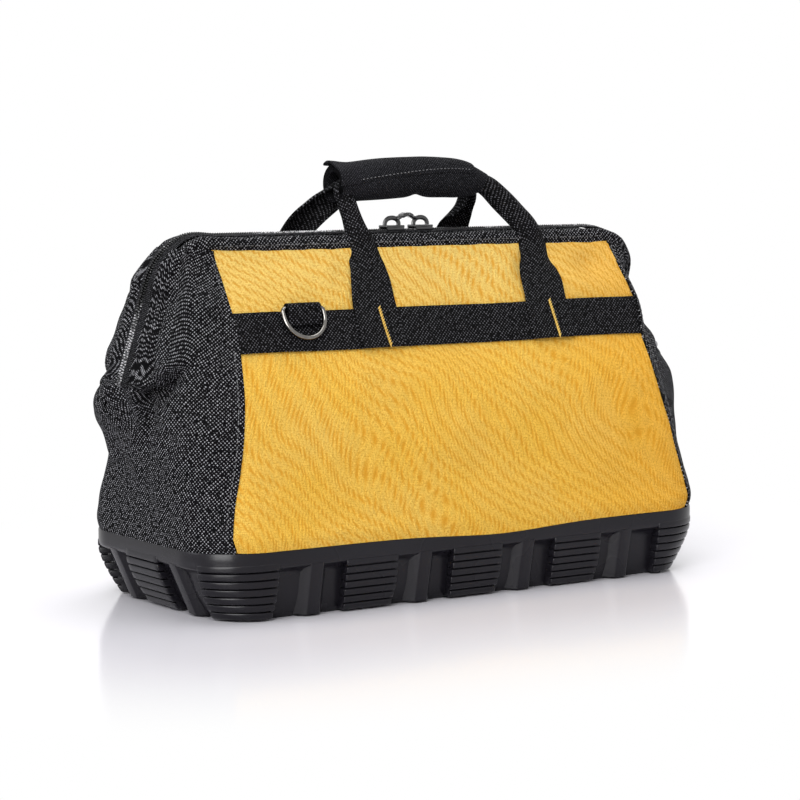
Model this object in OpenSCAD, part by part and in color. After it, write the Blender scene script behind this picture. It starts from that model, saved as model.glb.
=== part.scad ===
// Tool bag with a hinged wide mouth, a moulded base and two carrying handles.
// Millimetres. The origin is the middle of the base on the floor, X runs along
// the bag, the front faces -Y and Z is up. The rear half is the front half
// turned half round about Z, but for its handle, whose grip faces the front one.

/* [Base] */
// Length of the moulded base at its top edge
base_l = 400; // [360:5:440]
// Depth of the moulded base at its top edge
base_w = 173; // [165:1:185]
// Height of the moulded base
base_h = 44.5; // [42:0.5:50]
// Radius of the base corners
base_r = 40; // [36:1:44]
// Wall of the base flange
flange_wall = 3; // [2.5:0.5:4]
// Height of the plain flange round the top of the base
flange_h = 11.5; // [9:0.5:13]
// Depth of the upright recesses between the pads
recess_depth = 7; // [5:0.5:8]
// Thickness of the floor and of the wall behind the recesses
floor_t = 3; // [2:0.5:4]
// Thickness of the loose board in the bottom of the bag
board_t = 3; // [2:0.5:4]
// Width of a ribbed pad on the long sides
pad_w = 39; // [30:1:44]
// Spacing of the ribbed pads on the long sides
pad_pitch = 82; // [78:1:84]
// Width of the ribbed pad in the middle of each end
end_pad_w = 48; // [40:1:52]
// Width of a plain pillar between two pads
pillar_w = 13; // [10:0.5:16]
// Number of ribs up a pad
rib_count = 7; // [5:1:7]
// Height of one rib
rib_h = 2.7; // [2:0.1:3]
// Depth of the grooves between the ribs
groove_depth = 1.6; // [1:0.1:2]

/* [Fabric] */
// Thickness of the padded fabric
cloth_t = 2; // [1.6:0.1:2.4]
// Height of the fold line between the body and the mouth
fold_z = 110; // [106:1:112]
// How far the moving fabric lies inside the fixed fabric at the fold
tuck = 2.6; // [2.5:0.1:3.5]
// Half depth of the closed mouth at its hem
mouth_b = 18.5; // [18:0.1:20]
// Height of the hem under the mouth
hem_z = 226; // [224:0.5:227]
// Half length of the front panel at the base
seam_low = 181; // [176:1:184]
// Half length of the front panel at the band and above it
seam_high = 157; // [150:1:160]

/* [Mouth] */
// Height of the two mouth hinges
hinge_z = 138; // [136:1:140]
// Height of the zip on its straight top run
zip_z = 237.5; // [236:0.5:239]
// Half length of the straight top run of the zip
zip_half = 151; // [145:1:155]
// Radius of the zip where it turns down
zip_r = 45; // [42:1:48]
// Outward lean of the zip on its way down the ends
zip_lean = 18; // [14:1:20]
// Height of the bottom of the zip
zip_low_z = 142; // [142:0.5:146]
// Depth of the hem sleeve across the mouth
sleeve_w = 8; // [8:0.5:9]
// Height of the hem sleeve
sleeve_h = 12; // [11:0.5:13]
// Distance of the sleeve centre from the middle of the mouth
sleeve_y = 12.5; // [12.3:0.1:12.7]
// Diameter of the steel frame rod
rod_d = 5; // [4:0.5:5]
// Play of the rod in its sleeve, on the diameter
rod_play = 0.6; // [0.4:0.1:0.8]
// Thickness of the hinge lugs
lug_t = 2; // [1.5:0.1:2.2]
// Diameter of the hinge pin
pin_d = 5; // [4:0.5:6]

/* [Webbing and ring] */
// Width of the band and of the ring loop
band_w = 25; // [20:1:26]
// Thickness of the webbing
web_t = 1.6; // [1.2:0.1:1.8]
// Height of the bottom edge of the band
band_z = 163; // [160:1:164]
// Width of the handle straps
strap_w = 32; // [28:1:34]
// How far a handle's straps are shifted to the right of its own half
strap_shift = 15; // [8:1:16]
// Place of the ring to the left of the middle
ring_x = 103.5; // [100:0.5:106]
// Wire diameter of the ring
wire_d = 3; // [2.5:0.1:3.2]
// Inner width of the ring
ring_in = 27; // [26:0.5:28]
// Length of the straight sides of the ring
ring_side = 5; // [3:0.5:6]

/* [Handle] */
// Length of the grip
grip_l = 136; // [125:1:138]
// Outer diameter of the closed grip
grip_d = 28; // [26:1:30]
// Height of the middle of the grip
grip_z = 268.5; // [268:0.5:272]
// Shift of the grip to the right of the middle of the bag
grip_shift = 7; // [4:0.5:8]

/* [Zip] */
// Thickness of the zip tape
tape_t = 0.8; // [0.6:0.1:1]
// Width of the teeth of one side
teeth_w = 1.9; // [1.6:0.1:2]
// Height of the teeth
teeth_h = 2.4; // [2:0.1:2.6]
// Length of a slider
slider_l = 15; // [12:0.5:16]
// Width of a slider
slider_w = 11; // [10:0.5:12]
// Place of the point where the sliders meet
slider_meet = 2.5; // [0:0.5:3]
// Distance of each slider's middle from that point
slider_off = 11.5; // [10:0.5:13]
// Length of a zip pull
pull_l = 9.5; // [8:0.5:10]

/* [Hidden] */
$fn = 48;
eps = 0.01;
over = 1;
fit = 0.3;
join = 0.2;

half_l = base_l / 2;
half_w = base_w / 2;

// Upright profile of the fabric: share of the height from the base to the hem,
// then the share of the depth that is left between the mouth and the base
profile_shares = [
    [0, 0.96], [0.045, 0.985], [0.113, 0.955], [0.196, 0.9], [0.278, 0.855], [0.36, 0.81],
    [0.43, 0.755], [0.5, 0.69], [0.57, 0.6], [0.65, 0.475], [0.78, 0.32], [0.9, 0.145],
    [0.965, 0.04], [1, 0]
];
// Share of the length that the end corners have along the same heights
length_shares = [[0, 0.985], [0.045, 0.997], [0.2, 0.99], [0.36, 0.992], [0.5, 0.998], [0.6, 1]];
// Share of the ridge's outward reach, from the base to the bottom of the zip
ridge_shares = [[0, 0], [0.2, 0.03], [0.36, 0.25], [0.5, 0.7], [0.58, 1]];

function height_share(z) = (z - base_h) / (hem_z - base_h);
function share_at(table, h) = lookup(h, table);
function depth_at(z) = mouth_b + (half_w - mouth_b) * share_at(profile_shares, height_share(z));

// Zip path: the straight top, a turn and a leaning leg on each side
turn_deg = 90 - zip_lean;
turn_x = zip_half;
turn_z = zip_z - zip_r;
leg_x0 = turn_x + zip_r * cos(zip_lean);
leg_z0 = turn_z + zip_r * sin(zip_lean);
leg_l = (leg_z0 - zip_low_z) / cos(zip_lean);
zip_low_x = leg_x0 + leg_l * sin(zip_lean);
function zip_x(z) = z > leg_z0
    ? turn_x + sqrt(max(0, pow(zip_r, 2) - pow(z - turn_z, 2)))
    : leg_x0 + (leg_z0 - z) * tan(zip_lean);

ridge_reach = zip_low_x - half_l;
function ridge_at(z) = corner_at(z) + ridge_reach * share_at(ridge_shares, height_share(z));
edge_inset = sleeve_h * 2 / 3;
// The rod ends above the hinge, and the sleeve just above the rod's end
hinge_clear = 1.5 * pin_d;
rod_end_z = hinge_z + 2.4 * pin_d;
sleeve_low_z = hinge_z + 3.2 * pin_d;
function corner_at(z) = min(
    half_l * share_at(length_shares, height_share(z)),
    zip_x(z) - edge_inset
);
function radius_at(z) = min(base_r, depth_at(z) - mouth_b + join);
function seam_at(z) = max(
    seam_high,
    seam_low - (seam_low - seam_high) * max(0, z - base_h - rib_h) / (band_z - base_h)
);

// The band lies along the slope of the front
band_drop = depth_at(band_z) - depth_at(band_z + band_w);
band_tilt = atan(band_drop / band_w);
band_top_z = band_z + band_w * cos(band_tilt);

// Heights of the rings of points that the fabric is lofted through
panel_low = base_h - flange_h + fit;
low_rings = concat(
    [panel_low, base_h],
    [for (h = [0.045, 0.113, 0.196, 0.278]) base_h + h * (hem_z - base_h)],
    [fold_z - join]
);
high_rings = concat(
    [fold_z + join],
    [for (h = [0.43, 0.5, 0.57]) base_h + h * (hem_z - base_h)],
    [band_z, band_top_z],
    [for (h = [0.9, 0.965, 1]) base_h + h * (hem_z - base_h)]
);

// Moving fabric lies inside the fixed fabric near the fold, and comes out again
// over this many tucks of height
tuck_slope = 10;
tuck_top = fold_z + tuck_slope * tuck;
function tucked(z) = tuck * max(0, min(1, (tuck_top - z) / (tuck_top - fold_z)));

// Fixed fabric stands inside the flange of the base up to the rim
function rim_inset(z) = z <= base_h ? flange_wall + join : 0;
function low_depth(z) = z <= base_h ? half_w - rim_inset(z) : depth_at(z);
function low_corner(z) = z <= base_h ? half_l - rim_inset(z) : corner_at(z);
function low_radius(z) = z <= base_h ? base_r - rim_inset(z) : radius_at(z);
function low_ridge(z) = z <= base_h ? low_corner(z) : ridge_at(z);

// Point at a share of the way along a quarter section, from the front seam
// round the corner to the end point [xe, ye]; x and y are both positive here
function quarter(f, a, b, r, seam, xe, ye) =
    let (
        straight = max(0, a - r - seam),
        start = seam > a - r ? asin(min(1, (seam - a + r) / r)) : 0,
        arc = r * (90 - start) * PI / 180,
        close = norm([xe - a, ye - b + r]),
        run = f * (straight + arc + close),
        turn = start + (run - straight) / r * 180 / PI
    )
    run < straight ? [seam + run, b]
    : run < straight + arc ? [a - r + r * sin(turn), b - r + r * cos(turn)]
    : [
        a + (xe - a) * (run - straight - arc) / max(eps, close),
        b - r + (ye - b + r) * (run - straight - arc) / max(eps, close)
    ];
// Depth of the front face at a place along its length
function face_y(x, a, b, r) = abs(x) <= a - r ? b
    : b - r + sqrt(max(0, r * r - pow(abs(x) - a + r, 2)));

// Closed sheet between an outer and an inner grid of points, rows up and columns along
module sheet(outer, inner) {
    rows = len(outer);
    cols = len(outer[0]);
    count = rows * cols;
    points = concat([for (row = outer) each row], [for (row = inner) each row]);
    function quad(a, b, c, d) = [[a, b, c], [a, c, d]];
    function at(r, c) = r * cols + c;
    faces = concat(
        [for (r = [0 : rows - 2], c = [0 : cols - 2])
            each quad(at(r, c), at(r + 1, c), at(r + 1, c + 1), at(r, c + 1))],
        [for (r = [0 : rows - 2], c = [0 : cols - 2])
            each quad(count + at(r, c), count + at(r, c + 1),
                count + at(r + 1, c + 1), count + at(r + 1, c))],
        [for (c = [0 : cols - 2])
            each quad(at(0, c), at(0, c + 1), count + at(0, c + 1), count + at(0, c))],
        [for (c = [0 : cols - 2])
            each quad(at(rows - 1, c + 1), at(rows - 1, c),
                count + at(rows - 1, c), count + at(rows - 1, c + 1))],
        [for (r = [0 : rows - 2])
            each quad(at(r + 1, 0), at(r, 0), count + at(r, 0), count + at(r + 1, 0))],
        [for (r = [0 : rows - 2])
            each quad(at(r, cols - 1), at(r + 1, cols - 1),
                count + at(r + 1, cols - 1), count + at(r, cols - 1))]
    );
    polyhedron(points = points, faces = faces);
}

// Columns of a front panel, as shares of its half length
column_shares = [-1, -0.96, -0.92, -0.88, -0.5, 0, 0.5, 0.88, 0.92, 0.96, 1];
quarter_steps = 7;

module panel_low_front() {
    function row(z, t) = [for (s = column_shares)
        let (x = s * (seam_at(z) - join), a = low_corner(z), b = low_depth(z), r = low_radius(z))
        [x, -(face_y(x, a, b, r) - t), z]];
    sheet([for (z = low_rings) row(z, 0)], [for (z = low_rings) row(z, cloth_t)]);
}

module panel_high_front() {
    function row(z, t) = [for (s = column_shares)
        let (x = s * (seam_high - join), a = corner_at(z), b = depth_at(z), r = radius_at(z))
        [x, -(face_y(x, a, b, r) - t - tucked(z)), z]];
    sheet([for (z = high_rings) row(z, 0)], [for (z = high_rings) row(z, cloth_t)]);
}

// Right end of the body, from the front seam round to the rear seam
module end_low() {
    function half(z, t) = [for (i = [0 : quarter_steps])
        let (p = quarter(i / quarter_steps, low_corner(z) - t, low_depth(z) - t,
            low_radius(z) - t, seam_at(z), low_ridge(z) - t, 0))
        [p[0], -p[1], z]];
    function row(z, t) = let (h = half(z, t)) concat(
        h, [for (i = [quarter_steps - 1 : -1 : 0]) [h[i][0], -h[i][1], z]]);
    sheet([for (z = low_rings) row(z, 0)], [for (z = low_rings) row(z, cloth_t)]);
}

// Right half of the loose fabric that folds at the end of the front half
// It ends beside the sleeve, and closes under the hinge
function beside_sleeve(z) = z > hinge_z - hinge_clear;
module gusset_front_right() {
    function row(z, t) = [for (i = [0 : quarter_steps])
        let (p = quarter(i / quarter_steps, corner_at(z) - t, depth_at(z) - t,
            max(eps, radius_at(z) - t), seam_high,
            (beside_sleeve(z) ? corner_at(z) : ridge_at(z)) - t,
            beside_sleeve(z) ? mouth_b - t : join))
        [p[0], -p[1], z]];
    sheet([for (z = high_rings) row(z, 0)], [for (z = high_rings) row(z, cloth_t - fit)]);
}

// Places along the mouth, from the foot of the left leg over the top to the
// foot of the right leg, as [x, z, turn of the outward normal from upright]
turn_steps = 8;
function leg_foot(side, inset, low_z) =
    let (
        r = zip_r - inset,
        low = (turn_z + r * sin(zip_lean) - low_z) / cos(zip_lean)
    )
    [
        side * (turn_x + r * cos(zip_lean) + low * sin(zip_lean)),
        turn_z + r * sin(zip_lean) - low * cos(zip_lean),
        side * turn_deg
    ];
function mouth_path(inset, low_z) = concat(
    [leg_foot(-1, inset, low_z)],
    [for (side = [-1, 1], i = [0 : turn_steps])
        let (
            deg = side * turn_deg * (side < 0 ? 1 - i / turn_steps : i / turn_steps),
            r = zip_r - inset
        )
        [side * turn_x + r * sin(deg), turn_z + r * cos(deg), deg]],
    [leg_foot(1, inset, low_z)]
);
function along(path, section, y) = [for (p = path) [for (q = section)
    [p[0] + q[0] * sin(p[2]), y + q[1], p[1] + q[0] * cos(p[2])]]];
function ring_section(w, h, steps) =
    let (r = min(w, h) / 2, dx = h / 2 - r, dy = w / 2 - r)
    [for (i = [0 : steps - 1]) let (t = 360 * (i + 0.5) / steps)
        [r * cos(t) + sign(cos(t)) * dx, r * sin(t) + sign(sin(t)) * dy]];
function box_section(n0, n1, y0, y1) = [[n1, y0], [n1, y1], [n0, y1], [n0, y0]];

// Bar along the mouth with a closed section
module bar(rows) {
    cols = len(rows[0]);
    last = (len(rows) - 1) * cols;
    points = [for (row = rows) each row];
    faces = concat(
        [for (r = [0 : len(rows) - 2], c = [0 : cols - 1])
            let (d = (c + 1) % cols)
            each [
                [r * cols + c, (r + 1) * cols + d, (r + 1) * cols + c],
                [r * cols + c, r * cols + d, (r + 1) * cols + d]
            ]],
        [[for (c = [cols - 1 : -1 : 0]) c]],
        [[for (c = [0 : cols - 1]) last + c]]
    );
    polyhedron(points = points, faces = faces);
}

// Sleeve along the mouth between an outer and an inner section
module hollow_bar(outer, inner) {
    rows = len(outer);
    cols = len(outer[0]);
    count = rows * cols;
    points = concat([for (row = outer) each row], [for (row = inner) each row]);
    function quad(a, b, c, d) = [[a, c, b], [a, d, c]];
    function at(r, c) = r * cols + c % cols;
    faces = concat(
        [for (r = [0 : rows - 2], c = [0 : cols - 1])
            each quad(at(r, c), at(r + 1, c), at(r + 1, c + 1), at(r, c + 1))],
        [for (r = [0 : rows - 2], c = [0 : cols - 1])
            each quad(count + at(r, c + 1), count + at(r + 1, c + 1),
                count + at(r + 1, c), count + at(r, c))],
        [for (c = [0 : cols - 1])
            each quad(at(0, c), at(0, c + 1), count + at(0, c + 1), count + at(0, c))],
        [for (c = [0 : cols - 1])
            each quad(at(rows - 1, c + 1), at(rows - 1, c),
                count + at(rows - 1, c), count + at(rows - 1, c + 1))]
    );
    polyhedron(points = points, faces = faces);
}

// Rounded rectangle made of true circles
module plate(l, w, r, h) {
    linear_extrude(h) {
        square([l - 2 * r, w], center = true);
        square([l, w - 2 * r], center = true);
        for (x = [-1, 1], y = [-1, 1])
            translate([x * (l / 2 - r), y * (w / 2 - r)]) circle(r);
    }
}
module base_slab(inset, z, h) {
    translate([0, 0, z])
        plate(base_l - 2 * inset, base_w - 2 * inset, base_r - inset, h);
}

// Moulded base
flange_z = base_h - flange_h;
rib_pitch = (flange_z - rib_h) / (rib_count - 0.5);
rib_inset_shares = [0.7, 0.42, 0.28, 0.18, 0.12, 0.1, 0.1];
corner_x = half_l - base_r - floor_t * 5;
corner_y = end_pad_w / 2 + pillar_w * 2 + pad_w / 5;
pillar_x = pad_pitch / 2;
end_pillar_y = end_pad_w / 2 + pillar_w * 1.55;
module pad_zones() {
    for (x = [-1, 0, 1]) translate([x * pad_pitch - pad_w / 2, -base_w, 0])
        cube([pad_w, 2 * base_w, flange_z]);
    translate([-base_l, -end_pad_w / 2, 0]) cube([2 * base_l, end_pad_w, flange_z]);
    for (x = [-1, 1], y = [-1, 1])
        translate([x > 0 ? corner_x : -corner_x - half_l, y > 0 ? corner_y : -corner_y - half_w, 0])
            cube([half_l, half_w, flange_z]);
}
module pillar_zones() {
    for (x = [-3, -1, 1, 3]) translate([x * pillar_x - pillar_w / 2, -base_w, 0])
        cube([pillar_w, 2 * base_w, flange_z]);
    for (y = [-1, 1]) translate([-base_l, y * end_pillar_y - pillar_w / 2, 0])
        cube([2 * base_l, pillar_w, flange_z]);
}
module base_tray() {
    color("#1c1c1e") difference() {
        union() {
            base_slab(0, flange_z, flange_h);
            base_slab(recess_depth, 0, flange_z + eps);
            intersection() {
                pad_zones();
                union() {
                    base_slab(recess_depth * rib_inset_shares[1] + groove_depth, 0, flange_z);
                    for (i = [0 : rib_count - 1])
                        base_slab(recess_depth * rib_inset_shares[i], i * rib_pitch, rib_h);
                }
            }
            intersection() {
                pillar_zones();
                base_slab(recess_depth * rib_inset_shares[2], 0, flange_z);
            }
        }
        base_slab(recess_depth + floor_t, floor_t, flange_z);
        base_slab(flange_wall, flange_z, flange_h + over);
    }
}
module base_board() {
    color("#2b2b2d") base_slab(recess_depth + floor_t + fit, floor_t, board_t);
}

module front_panel_lower() { color("#f5b833") panel_low_front(); }
module rear_panel_lower() { color("#f5b833") rotate(180) panel_low_front(); }
module right_end_panel() { color("#232325") end_low(); }
module left_end_panel() { color("#232325") rotate(180) end_low(); }

// Hinge at the right end: a tab sewn inside the end panel carries the pin, and
// the lugs of the two frames lie side by side on it
rod_inset = sleeve_h / 2;
rod_r = zip_r - rod_inset;
rod_end_x = turn_x + rod_r * cos(zip_lean)
    + (turn_z + rod_r * sin(zip_lean) - rod_end_z) * tan(zip_lean);
lug_gap = fit;
lug_x2 = rod_end_x - lug_t / 2;
lug_x1 = lug_x2 - lug_gap - lug_t;
tab_t = lug_t;
tab_x = lug_x1 - lug_gap - tab_t;
tab_w = 2.4 * pin_d;
tab_high_z = hinge_z + tab_w / 2;
tab_low_z = fold_z - 4 * tab_t;
tab_low_x = low_ridge(tab_low_z) - cloth_t - tab_t - 2 * fit
    - tab_w / 2 * (low_ridge(tab_low_z) - low_corner(tab_low_z)) / (low_depth(tab_low_z) - base_r);
module hinge_tab_right() {
    bend_z = hinge_z - hinge_clear;
    foot_z = fold_z - tab_t;
    difference() {
        translate([0, tab_w / 2, 0]) rotate([90, 0, 0]) linear_extrude(tab_w)
            polygon([
                [tab_x, tab_high_z], [tab_x, bend_z], [tab_low_x, foot_z],
                [tab_low_x, tab_low_z], [tab_low_x + tab_t, tab_low_z],
                [tab_low_x + tab_t, foot_z], [tab_x + tab_t, bend_z],
                [tab_x + tab_t, tab_high_z]
            ]);
        translate([tab_x - over, 0, hinge_z]) rotate([0, 90, 0])
            cylinder(d = pin_d, h = tab_t + 2 * over);
    }
}
pin_head_t = lug_t * 0.75;
pin_head_d = pin_d * 1.6;
pin_l = lug_x2 + lug_t + lug_gap - tab_x;
module hinge_pin_right() {
    translate([tab_x, 0, hinge_z]) rotate([0, 90, 0]) {
        cylinder(d = pin_d, h = pin_l);
        translate([0, 0, -pin_head_t]) cylinder(d = pin_head_d, h = pin_head_t);
        translate([0, 0, pin_l]) cylinder(d = pin_head_d, h = pin_head_t);
    }
}
module right_hinge_tab() { color("#303033") hinge_tab_right(); }
module left_hinge_tab() { color("#303033") rotate(180) hinge_tab_right(); }
module right_hinge_pin() { color("silver") hinge_pin_right(); }
module left_hinge_pin() { color("silver") rotate(180) hinge_pin_right(); }

// Steel frame of the front half; its lugs sit on the ends of its rod, the outer
// one at the right end and the inner one at the left end
lug_r = pin_d;
link_l = norm([sleeve_y, rod_end_z - hinge_z]);
link_tilt = atan2(sleeve_y, rod_end_z - hinge_z);
nub_d = rod_d + 2 * fit;
module lug(x) {
    difference() {
        union() {
            translate([x, 0, hinge_z]) {
                rotate([0, 90, 0]) cylinder(r = lug_r, h = lug_t);
                rotate([link_tilt, 0, 0]) translate([0, -nub_d / 2, 0])
                    cube([lug_t, nub_d, link_l]);
            }
            translate([x, -sleeve_y, rod_end_z]) rotate([0, 90, 0])
                cylinder(d = nub_d, h = rod_end_x - x + rod_d / 2);
        }
        translate([x - over, 0, hinge_z]) rotate([0, 90, 0])
            cylinder(d = pin_d + fit, h = lug_t + 2 * over);
    }
}
module frame_front() {
    rod_low_z = rod_end_z + nub_d / 2 + fit + rod_d / 2 * sin(zip_lean);
    bar(along(mouth_path(rod_inset, rod_low_z), ring_section(rod_d, rod_d, 12), -sleeve_y));
}
module lugs_front() {
    lug(lug_x2);
    mirror([1, 0, 0]) lug(lug_x1);
}
module front_frame() { color("silver") frame_front(); }
module rear_frame() { color("silver") rotate(180) frame_front(); }
module front_hinge_lugs() { color("silver") lugs_front(); }
module rear_hinge_lugs() { color("silver") rotate(180) lugs_front(); }

// Hem sleeve round the rod
module sleeve_front() {
    path = mouth_path(sleeve_h / 2, sleeve_low_z);
    bore = rod_d + rod_play;
    hollow_bar(
        along(path, ring_section(sleeve_w, sleeve_h, 16), -sleeve_y),
        along(path, ring_section(bore, bore, 16), -sleeve_y)
    );
}
module front_sleeve() { color("#1d1d1f") sleeve_front(); }
module rear_sleeve() { color("#1d1d1f") rotate(180) sleeve_front(); }

// Zip: a tape on top of each sleeve and a coil of teeth along its edge
teeth_gap = teeth_w;
teeth_edge = teeth_gap / 2;
module front_zip_tape() { color("#161617") tape_front(); }
module rear_zip_tape() { color("#161617") rotate(180) tape_front(); }
tape_path = mouth_path(-join - tape_t / 2, zip_low_z);
module tape_front() {
    bar(along(tape_path, box_section(-tape_t / 2, tape_t / 2,
        -sleeve_y, -teeth_edge - teeth_w), 0));
}
module teeth_front() {
    bar(along(tape_path, box_section(-teeth_h / 2, teeth_h / 2,
        -teeth_edge - teeth_w, -teeth_edge), 0));
}
module front_zip_teeth() { color("#3a3a3d") teeth_front(); }
module rear_zip_teeth() { color("#3a3a3d") rotate(180) teeth_front(); }

// Webbing on the front half
face_gap = join;
module band_front() {
    translate([0, -depth_at(band_z) - face_gap, band_z]) rotate([-band_tilt, 0, 0])
        translate([-seam_high + join, -web_t, 0])
            cube([2 * (seam_high - join), web_t, band_w]);
}
module front_panel_upper() { color("#f5b833") panel_high_front(); }
module rear_panel_upper() { color("#f5b833") rotate(180) panel_high_front(); }
module front_band() { color("#1a1a1b") band_front(); }
module rear_band() { color("#1a1a1b") rotate(180) band_front(); }

// A strap lies on the band and on the panel above it, up to the hem; the two
// straps of a handle stand as far apart as its grip is long
strap_pitch = grip_l;
strap_lift = (web_t + face_gap) / cos(band_tilt) + 2 * face_gap;
handle_hinge_z = hem_z + join + web_t / 2;
handle_hinge_y = -mouth_b - face_gap - web_t / 2;
strap_top_z = handle_hinge_z - web_t / 2 - fit;
strap_turn_share = 0.9;
strap_rings = [
    band_z, band_top_z, band_top_z + strap_lift * 2,
    base_h + strap_turn_share * (hem_z - base_h), strap_top_z
];
function strap_y(z, out) = -depth_at(z) - out - (z <= band_top_z ? strap_lift : face_gap);
module strap_front(side) {
    x = strap_shift + side * strap_pitch / 2;
    translate([x - strap_w / 2, 0, 0]) rotate([90, 0, 90]) linear_extrude(strap_w)
        polygon(concat(
            [for (z = strap_rings) [strap_y(z, 0), z]],
            [for (i = [len(strap_rings) - 1 : -1 : 0])
                [strap_y(strap_rings[i], web_t), strap_rings[i]]]
        ));
}
module front_left_strap() { color("#1a1a1b") strap_front(-1); }
module front_right_strap() { color("#1a1a1b") strap_front(1); }
module rear_left_strap() { color("#1a1a1b") rotate(180) strap_front(1); }
module rear_right_strap() { color("#1a1a1b") rotate(180) strap_front(-1); }

// Ring and its webbing loop above the band
loop_in = wire_d / 2 + fit;
loop_out = loop_in + web_t;
ring_bar_z = band_top_z + loop_out + fit;
ring_bar_y = -depth_at(band_top_z) - face_gap - loop_out - fit;
loop_w = ring_in - 2;
module ring_loop_front() {
    tail = band_w / 3;
    translate([-ring_x, 0, 0]) difference() {
        union() {
            translate([-loop_w / 2, ring_bar_y, ring_bar_z]) rotate([0, 90, 0])
                cylinder(r = loop_out, h = loop_w);
            translate([0, -depth_at(band_z) - 2 * face_gap - web_t, band_z])
                rotate([-band_tilt, 0, 0]) translate([-loop_w / 2, -web_t, band_w - tail])
                    cube([loop_w, web_t, tail + loop_in]);
        }
        translate([-ring_in, ring_bar_y, ring_bar_z]) rotate([0, 90, 0])
            cylinder(r = loop_in, h = 2 * ring_in);
    }
}
module ring_front() {
    mean = ring_in / 2 + wire_d / 2;
    translate([-ring_x, ring_bar_y, ring_bar_z]) rotate([-band_tilt, 0, 0]) {
        translate([-mean, 0, 0]) rotate([0, 90, 0]) cylinder(d = wire_d, h = 2 * mean);
        for (s = [-1, 1]) translate([s * mean, 0, 0]) {
            sphere(d = wire_d);
            translate([0, 0, -ring_side]) cylinder(d = wire_d, h = ring_side);
        }
        translate([0, 0, -ring_side]) rotate([-90, 0, 0])
            rotate_extrude(angle = 180) translate([mean, 0]) circle(d = wire_d);
    }
}
module front_ring_loop() { color("#1a1a1b") ring_loop_front(); }
module rear_ring_loop() { color("#1a1a1b") rotate(180) ring_loop_front(); }
module front_ring() { color("#c9c9cc") ring_front(); }
module rear_ring() { color("#c9c9cc") rotate(180) ring_front(); }

// Handle: webbing that folds at the hem and runs into a padded half grip; the two
// half grips meet in the middle and make one round grip
core_w = grip_d / 2;
core_t = 3 * web_t;
core_y = grip_d / 4;
mid_gap = fit;
// Gathered webbing just under the grip: its width as a share of the strap's, and
// its height as a share of the way from the hem to the grip
neck_share = 0.3;
neck_rise = 0.85;
neck_w = strap_w * neck_share;
neck_z = handle_hinge_z + (grip_z - grip_d / 2 - handle_hinge_z) * neck_rise;
bend_z = zip_z + join + tape_t + fit;
module hem_end(x) {
    translate([x - strap_w / 2, handle_hinge_y, handle_hinge_z]) rotate([0, 90, 0])
        cylinder(d = web_t, h = strap_w, $fn = 16);
}
module bend(x, side) {
    middle = (x + grip_shift + side * (grip_l / 2 + neck_w)) / 2;
    width = (strap_w + neck_w) / 2;
    translate([middle - width / 2, handle_hinge_y - web_t / 2, bend_z])
        cube([width, web_t, web_t]);
}
module neck(side) {
    x = grip_shift + side * (grip_l / 2 + join + neck_w / 2);
    translate([x - neck_w / 2, -core_y - core_t / 2, neck_z]) cube([neck_w, core_t, web_t]);
}
module core_end(side) {
    x = grip_shift + side * (grip_l / 2 + join + core_t / 2);
    translate([x - core_t / 2, -core_y - core_t / 2, grip_z - core_w / 2])
        cube([core_t, core_t, core_w]);
}
module handle_web(shift) {
    for (side = [-1, 1]) {
        x = shift + side * strap_pitch / 2;
        hull() {
            hem_end(x);
            bend(x, side);
        }
        hull() {
            bend(x, side);
            neck(side);
        }
        hull() {
            neck(side);
            core_end(side);
        }
    }
    translate([grip_shift - grip_l / 2 - core_t / 2, -core_y - core_t / 2, grip_z - core_w / 2])
        cube([grip_l + core_t, core_t, core_w]);
}
module grip_half() {
    translate([grip_shift - grip_l / 2, 0, grip_z]) rotate([0, 90, 0]) difference() {
        cylinder(d = grip_d, h = grip_l);
        translate([-grip_d, -mid_gap / 2, -over]) cube([2 * grip_d, grip_d, grip_l + 2 * over]);
        translate([-core_w / 2 - join, -core_y - core_t / 2 - join, -over])
            cube([core_w + 2 * join, core_t + 2 * join, grip_l + 2 * over]);
    }
}
module front_handle_webbing() { color("#1a1a1b") handle_web(strap_shift); }
module front_grip() { color("#202022") grip_half(); }
module rear_handle_webbing() { color("#1a1a1b") mirror([0, 1, 0]) handle_web(-strap_shift); }
module rear_grip() { color("#202022") mirror([0, 1, 0]) grip_half(); }

// Zip slider: two plates joined by a post between the rows of teeth, a lip on
// the front side, an open rear side and a bridge that holds the pull
plate_t = 1.2;
slide_gap = 0.5;
chain_z = zip_z + join + tape_t / 2;
plate_low_z = chain_z - teeth_h / 2 - slide_gap - plate_t;
plate_high_z = chain_z + teeth_h / 2 + slide_gap;
lip_t = 1;
bridge_h = 4;
bridge_t = 1.6;
bridge_w = 3;
post_t = teeth_gap - 2 * slide_gap;
module slider(x) {
    translate([x - slider_l / 2, -slider_w / 2, 0]) {
        for (z = [plate_low_z, plate_high_z]) translate([0, 0, z])
            cube([slider_l, slider_w, plate_t]);
        translate([0, 0, chain_z + tape_t / 2 + slide_gap])
            cube([slider_l, lip_t, plate_high_z - chain_z - tape_t / 2 - slide_gap + eps]);
        translate([0, 0, plate_low_z + plate_t - eps])
            cube([slider_l, lip_t, chain_z - tape_t / 2 - slide_gap - plate_low_z - plate_t + eps]);
    }
    translate([x - slider_l / 6, -post_t / 2, plate_low_z])
        cube([slider_l / 3, post_t, plate_high_z - plate_low_z + eps]);
    bridge_z = plate_high_z + plate_t - eps;
    translate([x, bridge_w / 2, 0]) rotate([90, 0, 0]) linear_extrude(bridge_w) difference() {
        translate([-slider_l / 2 + over, bridge_z]) square([slider_l - 2 * over, bridge_h]);
        translate([-slider_l / 2 + over + bridge_t, bridge_z - over])
            square([slider_l - 2 * over - 2 * bridge_t, bridge_h - bridge_t + over]);
    }
}
module left_slider() { color("#0f0f10") slider(slider_meet - slider_off); }
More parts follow.
